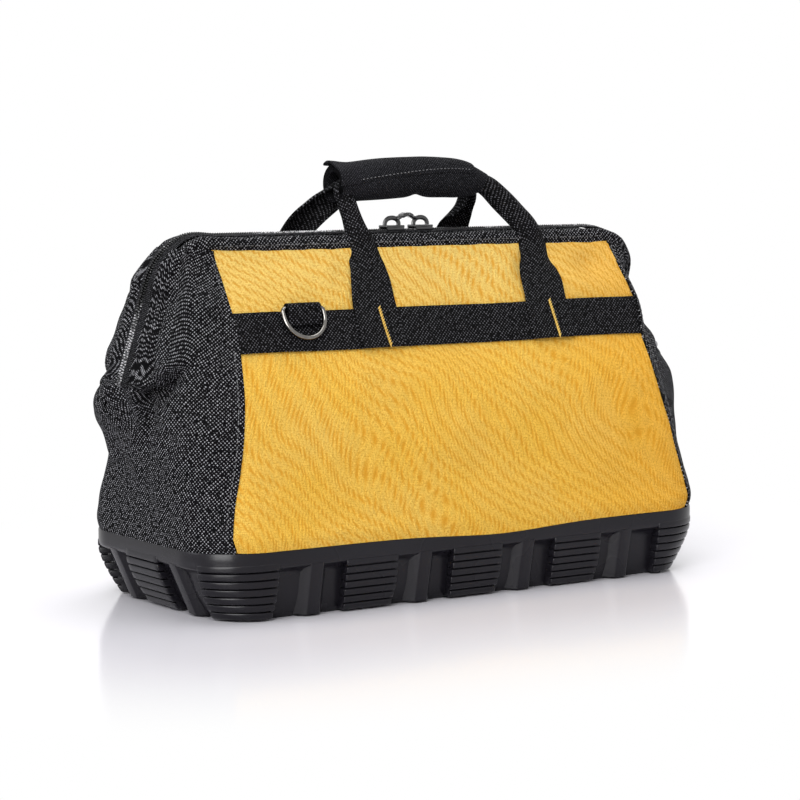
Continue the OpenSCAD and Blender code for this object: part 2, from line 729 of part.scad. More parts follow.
module right_slider() { color("#0f0f10") slider(slider_meet + slider_off); }

// Zip pull: an eye round the inner leg of the bridge and a tab with a round end;
// its eye is long enough to swing over the corner of the bridge
pull_t = 1.4;
pull_w = 6;
pull_hinge_z = plate_high_z + plate_t + bridge_h - bridge_t - pull_t / 2 - fit;
pull_rise = 46;
pull_reach = slider_off - slider_l / 2 + over + bridge_t + fit + pull_t / 2;
pull_eye = (pull_t / 2 + fit + bridge_t) * sqrt(2) + fit - pull_t / 2;
module pull(side) {
    hole = bridge_w + 2 * fit;
    x = slider_meet + side * pull_reach;
    translate([x, 0, pull_hinge_z]) mirror([side > 0 ? 1 : 0, 0, 0]) rotate([0, -pull_rise, 0])
        difference() {
            union() {
                translate([-pull_t / 2, -pull_w / 2, -pull_t / 2])
                    cube([pull_l - pull_w / 2, pull_w, pull_t]);
                translate([pull_l - pull_w / 2 - pull_t / 2, 0, -pull_t / 2])
                    cylinder(d = pull_w, h = pull_t);
            }
            translate([pull_t / 2, -hole / 2, -over]) cube([pull_eye, hole, 2 * over]);
        }
}
module left_pull() { color("#0f0f10") pull(-1); }
module right_pull() { color("#0f0f10") pull(1); }

module front_left_gusset() { color("#232325") mirror([1, 0, 0]) gusset_front_right(); }
module front_right_gusset() { color("#232325") gusset_front_right(); }
module rear_left_gusset() { color("#232325") rotate(180) gusset_front_right(); }
module rear_right_gusset() { color("#232325") mirror([0, 1, 0]) gusset_front_right(); }

base_tray();
base_board();
front_panel_lower();
rear_panel_lower();
left_end_panel();
right_end_panel();
left_hinge_tab();
right_hinge_tab();
left_hinge_pin();
right_hinge_pin();
front_panel_upper();
front_left_gusset();
front_right_gusset();
front_band();
front_left_strap();
front_right_strap();
front_ring_loop();
front_ring();
front_sleeve();
front_frame();
front_hinge_lugs();
front_zip_tape();
front_zip_teeth();
front_handle_webbing();
front_grip();
rear_panel_upper();
rear_left_gusset();
rear_right_gusset();
rear_band();
rear_left_strap();
rear_right_strap();
rear_ring_loop();
rear_ring();
rear_sleeve();
rear_frame();
rear_hinge_lugs();
rear_zip_tape();
rear_zip_teeth();
rear_handle_webbing();
rear_grip();
left_slider();
right_slider();
left_pull();
right_pull();
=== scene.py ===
"""Looks of the tool bag: every soft piece is moulded round the fixed CAD frame."""
import math

import bpy
import numpy as np
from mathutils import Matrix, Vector


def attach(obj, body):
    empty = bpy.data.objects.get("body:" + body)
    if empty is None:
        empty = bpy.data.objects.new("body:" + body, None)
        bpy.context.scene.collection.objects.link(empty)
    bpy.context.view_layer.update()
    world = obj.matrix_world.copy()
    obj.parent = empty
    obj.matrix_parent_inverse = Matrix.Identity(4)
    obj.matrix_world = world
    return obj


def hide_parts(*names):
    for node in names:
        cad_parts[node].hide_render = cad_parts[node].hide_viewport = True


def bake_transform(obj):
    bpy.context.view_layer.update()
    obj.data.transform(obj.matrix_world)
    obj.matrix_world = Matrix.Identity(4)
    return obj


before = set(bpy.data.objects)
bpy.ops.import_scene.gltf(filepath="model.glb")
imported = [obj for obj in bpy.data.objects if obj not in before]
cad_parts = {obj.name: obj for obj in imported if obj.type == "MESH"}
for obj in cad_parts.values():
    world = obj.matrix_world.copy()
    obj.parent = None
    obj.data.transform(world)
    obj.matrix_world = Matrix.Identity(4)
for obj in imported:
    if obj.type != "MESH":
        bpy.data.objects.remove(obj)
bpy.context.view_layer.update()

bl_info = {
    "name": "Tool bag",
    "version": (1, 0, 0),
    "blender": (4, 5, 0),
    "location": "View3D > Sidebar > Bag",
    "description": "Dresses the tool bag's CAD frame in cloth, webbing, zip and moulded base",
    "category": "Mesh",
}

MM = 0.001
DEG = math.pi / 180
HALVES = (("front", -1), ("rear", 1))

# Main sizes of the CAD source, in millimetres
BASE_L, BASE_W, BASE_H, BASE_R = 400.0, 173.0, 44.5, 40.0
FLANGE_H, FLANGE_WALL, RECESS, FLOOR_T = 11.5, 3.0, 7.0, 3.0
PAD_W, PAD_PITCH, END_PAD_W, PILLAR_W, RIBS = 39.0, 82.0, 48.0, 13.0, 7
CLOTH, MOUTH_B, HEM_Z = 2.0, 18.5, 226.0
SEAM_LOW, SEAM_HIGH, RIB_H = 181.0, 157.0, 2.7
ZIP_Z, ZIP_HALF, ZIP_R, ZIP_LEAN, ZIP_LOW = 237.5, 151.0, 45.0, 18.0 * DEG, 142.0
SLEEVE_H, SLEEVE_Y = 12.0, 12.5
BAND_Z, BAND_W, WEB = 163.0, 25.0, 1.6
WIRE, RING_IN, RING_SIDE = 3.0, 27.0, 5.0
MEET, SLIDER_OFF, SLIDER_L, SLIDER_W, CHAIN_Z = 2.5, 11.5, 15.0, 11.0, 238.1
HALF_L, HALF_W = BASE_L / 2, BASE_W / 2
FLANGE_Z = BASE_H - FLANGE_H

# Body of the bag by share of its height: depth, length, and how far the end's ridge stands out
PROFILE = ((0, 0.96), (0.045, 0.985), (0.113, 0.955), (0.196, 0.9), (0.278, 0.855),
           (0.36, 0.81), (0.43, 0.755), (0.5, 0.69), (0.57, 0.6), (0.65, 0.475),
           (0.78, 0.32), (0.9, 0.145), (0.965, 0.04), (1, 0))
LENGTHS = ((0, 0.985), (0.045, 0.997), (0.2, 0.99), (0.36, 0.992), (0.5, 0.998), (0.6, 1))
RIDGE = ((0, 0), (0.2, 0.03), (0.36, 0.25), (0.5, 0.7), (0.58, 1))

# Places that follow the photo in Blender only, in millimetres
RING_X = 107.5
SAG = 3.2
TUCK_SIDE, TUCK_END = 7.0, 16.0
# How far in the right leg of the mouth hangs, by height
HUNG = ((136, 0), (150, 4), (161, 8), (175, 12.5), (188, 14), (202, 11), (216, 7), (228, 3),
        (240, 0))


def hex_linear(code):
    """Linear colour from an sRGB hex value."""
    parts = [int(code[i:i + 2], 16) / 255 for i in (1, 3, 5)]
    return tuple(c / 12.92 if c <= 0.04045 else ((c + 0.055) / 1.055) ** 2.4 for c in parts)


def colour(label, text, code):
    """Colour setting with its default from a hex value."""
    return bpy.props.FloatVectorProperty(
        name=label, description=text, subtype="COLOR", size=3, min=0, max=1,
        default=hex_linear(code))


def length(label, text, millimetres):
    """Length setting in metres."""
    return bpy.props.FloatProperty(
        name=label, description=text, subtype="DISTANCE", unit="LENGTH", precision=5,
        default=millimetres * MM)


class BagSizes(bpy.types.PropertyGroup):
    """Sizes of the dressing that a user would change"""

    thread: length("Thread", "Spacing of the cloth's threads, drawn coarser than real to show", 1.1)
    wrinkle: length("Wrinkle", "Height of the soft wrinkles in the panels", 1.0)
    pleat: length("Pleat", "Depth of the pleat under the zip's ends", 12.0)
    stitch: length("Stitch", "Length of one stitch", 2.6)
    tooth: length("Tooth pitch", "Spacing of the zip's coil", 1.7)
    groove: length("Groove", "Height of the groove between two ribs of the base", 0.55)


class BagColours(bpy.types.PropertyGroup):
    """Colours of the bag's finishes"""

    yellow: colour("Panel", "Cloth of the front and rear panels", "#FDCF58")
    # Panel light is the colour of the faded parts and also of the painted light on the panel's
    # upper edge
    yellow_light: colour("Panel light", "Faded parts of the panel cloth", "#FBE086")
    # Panel deep is the painted shade in the troughs of the weave and its ripples
    yellow_trough_shade: colour("Panel deep", "Troughs of the panel cloth", "#CF9024")
    black: colour("End cloth", "Cloth of the ends", "#0B0B0C")
    # Pale threads of the end cloth, with their glints painted in as painted highlights
    black_thread_glint: colour("Thread glint", "Pale threads in the end cloth", "#A6A6AA")
    webbing: colour("Webbing", "Webbing of band, straps and handles", "#0C0C0D")
    # Pale threads of the webbing, with their glints painted in as painted highlights
    webbing_thread_glint: colour("Webbing glint", "Pale threads in the webbing", "#66666A")
    plastic: colour("Base", "Moulded plastic of the base", "#141217")
    bartack: colour("Bartack", "Thread of the bartacks", "#E9C765")
    lining: colour("Lining", "Coated inside of the cloth", "#1B1B1C")


# Forms shared by the pieces, in millimetres

def smooth(table, x):
    """Smooth curve through a table of points."""
    xs, ys = np.array(table, float).T
    slope = np.gradient(ys, xs)
    x = np.clip(x, xs[0], xs[-1])
    k = np.clip(np.searchsorted(xs, x) - 1, 0, len(xs) - 2)
    gap = xs[k + 1] - xs[k]
    t = (x - xs[k]) / gap
    return ((2 * t ** 3 - 3 * t ** 2 + 1) * ys[k] + (t ** 3 - 2 * t ** 2 + t) * gap * slope[k]
            + (3 * t ** 2 - 2 * t ** 3) * ys[k + 1] + (t ** 3 - t ** 2) * gap * slope[k + 1])


def step(a, b, x):
    """Soft step from 0 at a to 1 at b."""
    t = np.clip((x - a) / (b - a), 0, 1)
    return t * t * (3 - 2 * t)


def bump(x, middle, width):
    """Soft bump of height 1."""
    return np.exp(-((x - middle) / width) ** 2)


def xyz(x, y, z):
    """Places from their coordinates, where a plain number holds for every place."""
    return np.stack(np.broadcast_arrays(x, y, z), 1)


def at_rows(table, k):
    """Rows of a table read at places between them."""
    return np.stack([np.interp(k, np.arange(len(table)), column) for column in table.T], 1)


def unit_rows(vectors):
    """Directions of length 1."""
    return vectors / np.linalg.norm(vectors, axis=1)[:, None]


def run_along(points):
    """Length run along a line up to each of its points."""
    steps = np.linalg.norm(np.diff(points, axis=0), axis=1)
    return np.concatenate([[0], np.cumsum(steps)])


def share(z):
    """Share of the height between base and hem."""
    return (z - BASE_H) / (HEM_Z - BASE_H)


def depth(z):
    """Half depth of the body."""
    return MOUTH_B + (HALF_W - MOUTH_B) * smooth(PROFILE, share(z))


LEG_X = ZIP_HALF + ZIP_R * math.cos(ZIP_LEAN)
LEG_Z = ZIP_Z - ZIP_R + ZIP_R * math.sin(ZIP_LEAN)
LEG_RUN = (LEG_Z - ZIP_LOW) / math.cos(ZIP_LEAN)
ZIP_LOW_X = LEG_X + (LEG_Z - ZIP_LOW) * math.tan(ZIP_LEAN)
BEND = math.pi / 2 - ZIP_LEAN


def zip_x(z):
    """Half length of the zip's path."""
    turn = ZIP_HALF + np.sqrt(np.maximum(0, ZIP_R ** 2 - (z - ZIP_Z + ZIP_R) ** 2))
    return np.where(z > LEG_Z, turn, LEG_X + (LEG_Z - z) * math.tan(ZIP_LEAN))


def corner(z):
    """Half length of the body at its rounded corners."""
    return np.minimum(HALF_L * smooth(LENGTHS, share(z)), zip_x(z) - 8)


def ridge(z):
    """Half length of the body at the ridge of an end."""
    return corner(z) + (ZIP_LOW_X - HALF_L) * smooth(RIDGE, share(z))


def radius(z):
    """Radius of the body's corners."""
    return np.minimum(BASE_R, depth(z) - MOUTH_B + 0.2)


def seam(z):
    """Half width of a yellow panel up to its seam."""
    fall = np.maximum(0, z - BASE_H - RIB_H) / (BAND_Z - BASE_H)
    line = np.maximum(SEAM_HIGH, SEAM_LOW - (SEAM_LOW - SEAM_HIGH) * fall)
    return line + 1.6 * bump(z, 66, 18) - 4.0 * (1 - step(43, 55, z))


def face_y(x, z):
    """Depth of the front face at a place along it."""
    a, b, r = corner(z), depth(z), radius(z)
    past = np.maximum(0, np.abs(x) - a + r)
    return b - r + np.sqrt(np.maximum(0, r * r - past ** 2))


def quarter(f, z, end, pull):
    """Section of an end, from the front seam round the corner, then curved towards pull."""
    a, b, r, s = corner(z), depth(z), radius(z), seam(z)
    straight = np.maximum(0, a - r - s)
    start = np.where(s > a - r, np.arcsin(np.clip((s - a + r) / r, 0, 1)), 0)
    arc = r * (math.pi / 2 - start)
    close = 0.5 * np.hypot(end[0] - a, end[1] - b + r) + 0.5 * (
        np.hypot(pull[0] - a, pull[1] - b + r) + np.hypot(end[0] - pull[0], end[1] - pull[1]))
    run = f * (straight + arc + close)
    turn = start + (run - straight) / r
    last = np.clip((run - straight - arc) / np.maximum(1e-6, close), 0, 1)
    one, two, three = (1 - last) ** 2, 2 * last * (1 - last), last ** 2
    x = np.where(run < straight, s + run,
                 np.where(run < straight + arc, a - r + r * np.sin(turn),
                          one * a + two * pull[0] + three * end[0]))
    y = np.where(run < straight, b,
                 np.where(run < straight + arc, b - r + r * np.cos(turn),
                          one * (b - r) + two * pull[1] + three * end[1]))
    return x, y


def waves(x, y, wavelength, seed, count=7):
    """Gentle random waves from -1 to 1, the same on every run."""
    rng = np.random.default_rng(seed)
    total = np.zeros_like(x, float)
    for _ in range(count):
        angle = rng.uniform(0, math.pi)
        size = wavelength * rng.uniform(0.7, 1.5)
        phase = rng.uniform(0, 2 * math.pi)
        total = total + np.sin(
            2 * math.pi / size * (x * math.cos(angle) + y * math.sin(angle)) + phase)
    return total / count * 1.6


def mouth_path(t, inset):
    """Places along the mouth from the left foot over the top to the right foot, and its turn."""
    r = ZIP_R - inset
    side = np.where(t < 0.5, -1.0, 1.0)
    run = np.abs(2 * t - 1) * (ZIP_HALF + r * BEND + LEG_RUN)
    angle = np.clip((run - ZIP_HALF) / r, 0, BEND)
    down = np.maximum(0, run - ZIP_HALF - r * BEND)
    x = np.minimum(run, ZIP_HALF) + r * np.sin(angle) + down * math.sin(ZIP_LEAN)
    z = ZIP_Z - ZIP_R + r * np.cos(angle) - down * math.cos(ZIP_LEAN)
    return side * x, z, side * angle


def slump(x, z):
    """Moves a place of the mouth as the soft bag hangs: its top down, its right leg in."""
    down = SAG * step(-172, -145, x) * (1 - step(160, 192, x)) * step(205, 228, z)
    return x - smooth(HUNG, z) * step(120, 175, x), z - down


def swept(points, wide, tall):
    """Places of an oval section swept along points that lie in an upright plane."""
    slopes = np.gradient(points, axis=0)

    def place(u, v):
        k = np.clip(u, 0, 1) * (len(points) - 1)
        along = unit_rows(at_rows(slopes, k))
        side = unit_rows(np.cross((0.0, 1.0, 0.001), along))
        angle = 2 * math.pi * v[:, None]
        return (at_rows(points, k) + side * wide * np.cos(angle)
                + np.cross(along, side) * tall * np.sin(angle))
    return place


# Work with Blender's own tools

def named(name):
    """Gives the new primitive and its mesh a name."""
    obj = bpy.context.object
    obj.name = name
    obj.data.name = name
    return obj


def only(obj):
    """Selects one object and makes it active."""
    bpy.ops.object.select_all(action="DESELECT")
    obj.select_set(True)
    bpy.context.view_layer.objects.active = obj


def apply(obj, kind, **settings):
    """Adds one modifier and applies it."""
    only(obj)
    made = obj.modifiers.new(kind.title(), kind)
    for key, value in settings.items():
        setattr(made, key, value)
    bpy.ops.object.modifier_apply(modifier=made.name)


def points_of(mesh):
    """Places of the points of a mesh, one a row."""
    flat = np.zeros(len(mesh.vertices) * 3)
    mesh.vertices.foreach_get("co", flat)
    return flat.reshape(-1, 3)


def settle(obj, look, smooth_deg=50):
    """Puts the object's place into its mesh and gives it the named look if it has none."""
    only(obj)
    bpy.ops.object.transform_apply(location=True, rotation=True, scale=True)
    bpy.ops.object.shade_smooth_by_angle(angle=smooth_deg * DEG)
    if not obj.data.materials:
        obj.data.materials.append(LOOKS[look])
    return obj


def lay_uv(mesh, u, v, points):
    """UV map in metres along the cloth, from the middle of a moulded grid."""
    i, j = (np.rint(w * (len(np.unique(np.round(w, 6))) - 1)).astype(int) for w in (u, v))
    table = np.zeros((j.max() + 1, i.max() + 1), int)
    table[j, i] = np.arange(len(u))
    grid = points[table]
    across = np.cumsum(np.linalg.norm(np.diff(grid, axis=1, prepend=grid[:, :1]), axis=2), 1)
    upward = np.cumsum(np.linalg.norm(np.diff(grid, axis=0, prepend=grid[:1]), axis=2), 0)
    across -= across[:, across.shape[1] // 2][:, None]
    lengths = np.zeros((len(u), 2))
    lengths[table.ravel()] = np.stack([across.ravel(), upward.ravel()], 1) * MM
    loops = np.zeros(len(mesh.loops), int)
    mesh.loops.foreach_get("vertex_index", loops)
    mesh.uv_layers[0].data.foreach_set("uv", lengths[loops].ravel())


def mould(name, cols, rows, place, look, thick=0.0, out=(0, -1, 0), around=False, edge=0.0,
          closed=False, smooth_deg=50):
    """A grid primitive moulded to place(u, v); a second look is for the inner side."""
    bpy.ops.object.select_all(action="DESELECT")
    bpy.ops.mesh.primitive_grid_add(x_subdivisions=cols, y_subdivisions=rows, size=2)
    obj = named(name)
    mesh = obj.data
    u, v = (points_of(mesh)[:, :2].T + 1) / 2
    points = place(u, v)
    mesh.vertices.foreach_set("co", (points * MM).ravel())
    lay_uv(mesh, u, v, points)
    mesh.update()

    only(obj)
    bpy.ops.object.mode_set(mode="EDIT")
    bpy.ops.mesh.select_all(action="SELECT")
    if around:
        bpy.ops.mesh.remove_doubles(threshold=1e-6)
        if not closed:
            bpy.ops.mesh.fill_holes(sides=0)
        bpy.ops.mesh.normals_make_consistent(inside=False)
    bpy.ops.object.mode_set(mode="OBJECT")
    normals = np.zeros(len(mesh.polygons) * 3)
    mesh.polygons.foreach_get("normal", normals)
    if not around and normals.reshape(-1, 3).mean(0) @ np.array(out) < 0:
        bpy.ops.object.mode_set(mode="EDIT")
        bpy.ops.mesh.flip_normals()
        bpy.ops.object.mode_set(mode="OBJECT")
    looks = look if isinstance(look, list) else [look]
    for one in looks:
        mesh.materials.append(LOOKS[one])
    if thick:
        apply(obj, "SOLIDIFY", thickness=thick * MM, offset=-1, use_even_offset=False,
              material_offset=len(looks) - 1)
    if edge:
        apply(obj, "BEVEL", width=edge * MM, segments=2, limit_method="ANGLE",
              angle_limit=55 * DEG)
    return settle(obj, look, smooth_deg)


def block(name, size, look, at=(0, 0, 0), bevel=0.4, segments=2, shape=None, cuts=0):
    """A cube primitive at its size and place, cut along its length, shaped and bevelled."""
    bpy.ops.object.select_all(action="DESELECT")
    bpy.ops.mesh.primitive_cube_add(size=1, location=(0, 0, 0))
    obj = named(name)
    obj.scale = Vector(size) * MM
    bpy.ops.object.transform_apply(location=False, rotation=False, scale=True)
    for k in range(1, cuts + 1):
        bpy.ops.object.mode_set(mode="EDIT")
        bpy.ops.mesh.select_all(action="SELECT")
        bpy.ops.mesh.bisect(
            plane_co=(size[0] * MM * (k / (cuts + 1) - 0.5), 0, 0), plane_no=(1, 0, 0))
        bpy.ops.object.mode_set(mode="OBJECT")
    if bevel:
        apply(obj, "BEVEL", width=bevel * MM, segments=segments, limit_method="ANGLE",
              angle_limit=40 * DEG)
    if shape is not None:
        moved = shape(points_of(obj.data) / MM)
        obj.data.vertices.foreach_set("co", (moved * MM).ravel())
        obj.data.update()
    obj.location = Vector(at) * MM
    return settle(obj, look, 40)


def together(name, parts):
    """Joins pieces into one object."""
    bpy.ops.object.select_all(action="DESELECT")
    for part in parts:
        part.select_set(True)
    bpy.context.view_layer.objects.active = parts[0]
    bpy.ops.object.join()
    return named(name)


def bead(segments, rings, size):
    """A small round primitive with three half sizes."""
    bpy.ops.mesh.primitive_uv_sphere_add(segments=segments, ring_count=rings, radius=1)
    unit = bpy.context.object
    unit.scale = Vector(size) * MM
    bpy.ops.object.transform_apply(location=False, rotation=False, scale=True)
    return unit


def about_y(angles):
    """Frames turned about Y."""
    frames = np.zeros((len(angles), 3, 3))
    frames[:, 0, 0] = frames[:, 2, 2] = np.cos(angles)
    frames[:, 0, 2], frames[:, 2, 0] = np.sin(angles), -np.sin(angles)
    frames[:, 1, 1] = 1
    return frames


def strewn(name, unit, places, frames, look):
    """Copies of one small mesh at places, each turned by its own frame, in one object."""
    verts = points_of(unit.data)
    faces = [list(face.vertices) for face in unit.data.polygons]
    moved = np.einsum("nij,vj->nvi", frames, verts) + (places * MM)[:, None, :]
    made = bpy.data.meshes.new(name)
    made.from_pydata(
        moved.reshape(-1, 3).tolist(), [],
        [[k * len(verts) + i for i in face] for k in range(len(places)) for face in faces])
    obj = bpy.data.objects.new(name, made)
    bpy.context.scene.collection.objects.link(obj)
    bpy.data.objects.remove(unit)
    return settle(obj, look, 60)


def stitches(name, points, outs, look, long=2.6, gap=1.2, thick=0.45):
    """A row of stitches along a line of points; outs are the cloth's outward directions."""
    run = run_along(points)
    at = np.arange(long, run[-1] - long / 2, long + gap)

    def read(table, where):
        return np.stack([np.interp(where, run, column) for column in table.T], 1)
    places = read(points, at)
    ahead = unit_rows(read(points, at + 0.5) - places)
    side = unit_rows(np.cross(read(outs, at), ahead))
    unit = bead(6, 4, (thick * 0.8, thick, long / 2))
    unit.rotation_euler = (0, math.pi / 2, 0)
    bpy.ops.object.transform_apply(location=False, rotation=True, scale=False)
    frames = np.stack([ahead, side, np.cross(ahead, side)], 2)
    return strewn(name, unit, places, frames, look)


def declare(piece, slot, body, *nodes):
    """Says which body a piece rides on and the CAD nodes it stands for; slot, its finish, is not
    used.
    """
    if body:
        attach(piece, body)
    if nodes:
        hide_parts(*nodes)


def sewn(obj):
    """Bakes a piece's place into its mesh."""
    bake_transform(obj)


def turned(half, points):
    """The rear half is the front half turned half round about Z."""
    return np.array(points) * ([1, 1, 1] if half == "front" else [-1, -1, 1])


# Materials

# Each finish by its name
LOOKS = {}


def put(tree, kind, links=None, **settings):
    """Adds one node with its settings and links."""
    made = tree.nodes.new("ShaderNode" + kind)
    for key, value in settings.items():
        setattr(made, key, value)
    for key, value in (links or {}).items():
        if isinstance(value, bpy.types.NodeSocket):
            tree.links.new(value, made.inputs[key])
        else:
            made.inputs[key].default_value = value
    return made


def calc(tree, operation, a, b):
    """Two values worked into one."""
    return put(tree, "Math", {0: a, 1: b}, operation=operation).outputs[0]


def spread(tree, value, low, high, to_low=0.0, to_high=1.0, **settings):
    """A value carried from one range to another."""
    return put(tree, "MapRange", {"Value": value, "From Min": low, "From Max": high,
                                  "To Min": to_low, "To Max": to_high}, **settings).outputs[0]


def mix(tree, part, first, second):
    """Two colours mixed; each is a socket, a linear colour or a hex value."""
    links = {"Fac": part}
    for key, value in (("Color1", first), ("Color2", second)):
        if isinstance(value, str):
            value = hex_linear(value)
        links[key] = value if isinstance(value, bpy.types.NodeSocket) else (*value, 1)
    return put(tree, "MixRGB", links).outputs[0]


def noise(tree, place, scale, detail=3.0, rough=0.5):
    """Cloudy noise at a scale."""
    return put(tree, "TexNoise", {"Vector": place, "Scale": scale, "Detail": detail,
                                  "Roughness": rough}).outputs


def wave(tree, place, scale, direction, distortion=0.0, detail=2.0, detail_scale=1.0):
    """Rolling bands; Blender's wave repeats every pi / 10 units at scale 1."""
    return put(tree, "TexWave", {"Vector": place, "Scale": scale, "Distortion": distortion,
                                 "Detail": detail, "Detail Scale": detail_scale},
               bands_direction=direction).outputs["Fac"]


def blank(name, rough, gloss, metal=0.0, coat=0.0):
    """A new material; returns its tree and its shader."""
    look = bpy.data.materials.new(name)
    look.use_nodes = True
    shader = look.node_tree.nodes["Principled BSDF"]
    for key, value in (("Roughness", rough), ("Specular IOR Level", gloss),
                       ("Metallic", metal), ("Coat Weight", coat), ("IOR", 1.5)):
        shader.inputs[key].default_value = value
    LOOKS[name] = look
    return look.node_tree, shader


def cloth_look(name, base, light, deep, thread, glint=None, ripple=0.0, rough=0.85,
               diagonal=False, ribs=0.0):
    """Woven cloth on the piece's own UV map in metres: threads, ripples, fading, painted glints and
    painted shade in its troughs, and on the panel painted light at the top and painted shade at the
    right.
    """
    tree, shader = blank(name, rough, 0.03)
    uv = put(tree, "UVMap").outputs["UV"]
    laid = put(tree, "Mapping", {"Vector": uv, "Rotation": (
        0, 0, math.pi / 4 if diagonal else 0.0)}).outputs["Vector"]
    weft, warp = (wave(tree, laid, math.pi / 10 / thread, direction, 1.5, 2.0, 1.4)
                  for direction in "XY")
    weave = calc(tree, "MULTIPLY", weft, warp)
    # Dull and bright places of about 50 mm, and slubs a little wider than a thread
    fade = noise(tree, uv, 20.0)["Fac"]
    slub = noise(tree, laid, 0.85 / thread, rough=0.7)["Fac"]
    slub = spread(tree, slub, 0.36, 0.64, 0.15, 1.25)
    pale_share = spread(tree, fade, 0.35, 0.7)
    if ripple:
        # Painted light: the upper edge, which leans back towards the lamps, is painted paler
        rise = put(tree, "SeparateXYZ", {"Vector": uv}).outputs
        painted_top_light = spread(tree, rise["Y"], 0.12, 0.19, 0.0, 0.9)
        pale_share = calc(tree, "MAXIMUM", calc(tree, "MULTIPLY", pale_share, 0.35), painted_top_light)
    # Pale colour where the cloth has faded at random, and on the panel also the painted light at
    # its upper edge
    shade = mix(tree, pale_share, base, light)
    if ripple:
        # Painted shade: the right side, farther from the key lamp, is painted a deeper orange
        painted_right_shade = spread(tree, rise["X"], 0.06, 0.17, 0.0, 0.45)
        shade = mix(tree, painted_right_shade, shade, "#FAAE34")
    speck = calc(tree, "MULTIPLY", weave, slub)
    # Painted shade: the troughs between the threads take the deep colour
    shade = mix(tree, spread(tree, speck, 0.0, 0.14, 0.5, 0.0), shade, deep)
    height = calc(tree, "MULTIPLY", weave, 0.4 * thread)
    if glint:
        # Painted highlights: glints on the threads that stand up, over their pale colour
        shade = mix(tree, spread(tree, speck, 0.31, 0.68), shade, glint)
    if ripple:
        # Puckered ripples about 9 mm and 3.5 mm apart that wander over the panel, bumped and with
        # painted shade in their troughs
        bent = noise(tree, uv, 9.0, 1.0)["Color"]
        wander = put(tree, "VectorMath", {0: bent, 1: (0.09, 0.09, 0.0)},
                     operation="MULTIPLY").outputs[0]
        moved = put(tree, "VectorMath", {0: uv, 1: wander}, operation="ADD").outputs[0]
        rolls = wave(tree, moved, 48.0, "DIAGONAL", 2.5, 1.0)
        fine = wave(tree, moved, 92.0, "X", 4.0, 1.0)
        both = calc(tree, "MULTIPLY", calc(tree, "ADD", rolls, fine), slub)
        # Painted shade in the ripples' troughs
        shade = mix(tree, spread(tree, both, 0.0, 0.95, 0.9, 0.0), shade, deep)
        height = calc(tree, "ADD", height, calc(tree, "MULTIPLY", both, ripple))
    if ribs:
        rows = wave(tree, uv, math.pi / 10 / ribs, "Y")
        height = calc(tree, "ADD", height, calc(tree, "MULTIPLY", rows, 0.00025))
    raised = put(tree, "Bump", {"Height": height, "Distance": 1.0, "Strength": 0.8})
    tree.links.new(shade, shader.inputs["Base Color"])
    tree.links.new(raised.outputs[0], shader.inputs["Normal"])


def solid_look(name, base, other, rough, grain, relief, metal=0.0, coat=0.0, gloss=0.5,
               share_at=(0.12, 0.4)):
    """Plastic, metal or enamel with a fine grain in its colour, gloss and relief."""
    tree, shader = blank(name, rough, gloss, metal, coat)
    place = put(tree, "TexCoord").outputs["Object"]
    fine = noise(tree, place, 1 / grain, rough=0.6)["Fac"]
    broad = noise(tree, place, 18.0)["Fac"]
    part = spread(tree, calc(tree, "MULTIPLY", fine, broad), *share_at)
    uneven = spread(tree, broad, 0.3, 0.7, rough * 0.85, rough * 1.15)
    raised = put(tree, "Bump", {"Height": fine, "Distance": relief, "Strength": 1.0})
    tree.links.new(mix(tree, part, base, other), shader.inputs["Base Color"])
    tree.links.new(uneven, shader.inputs["Roughness"])
    tree.links.new(raised.outputs[0], shader.inputs["Normal"])


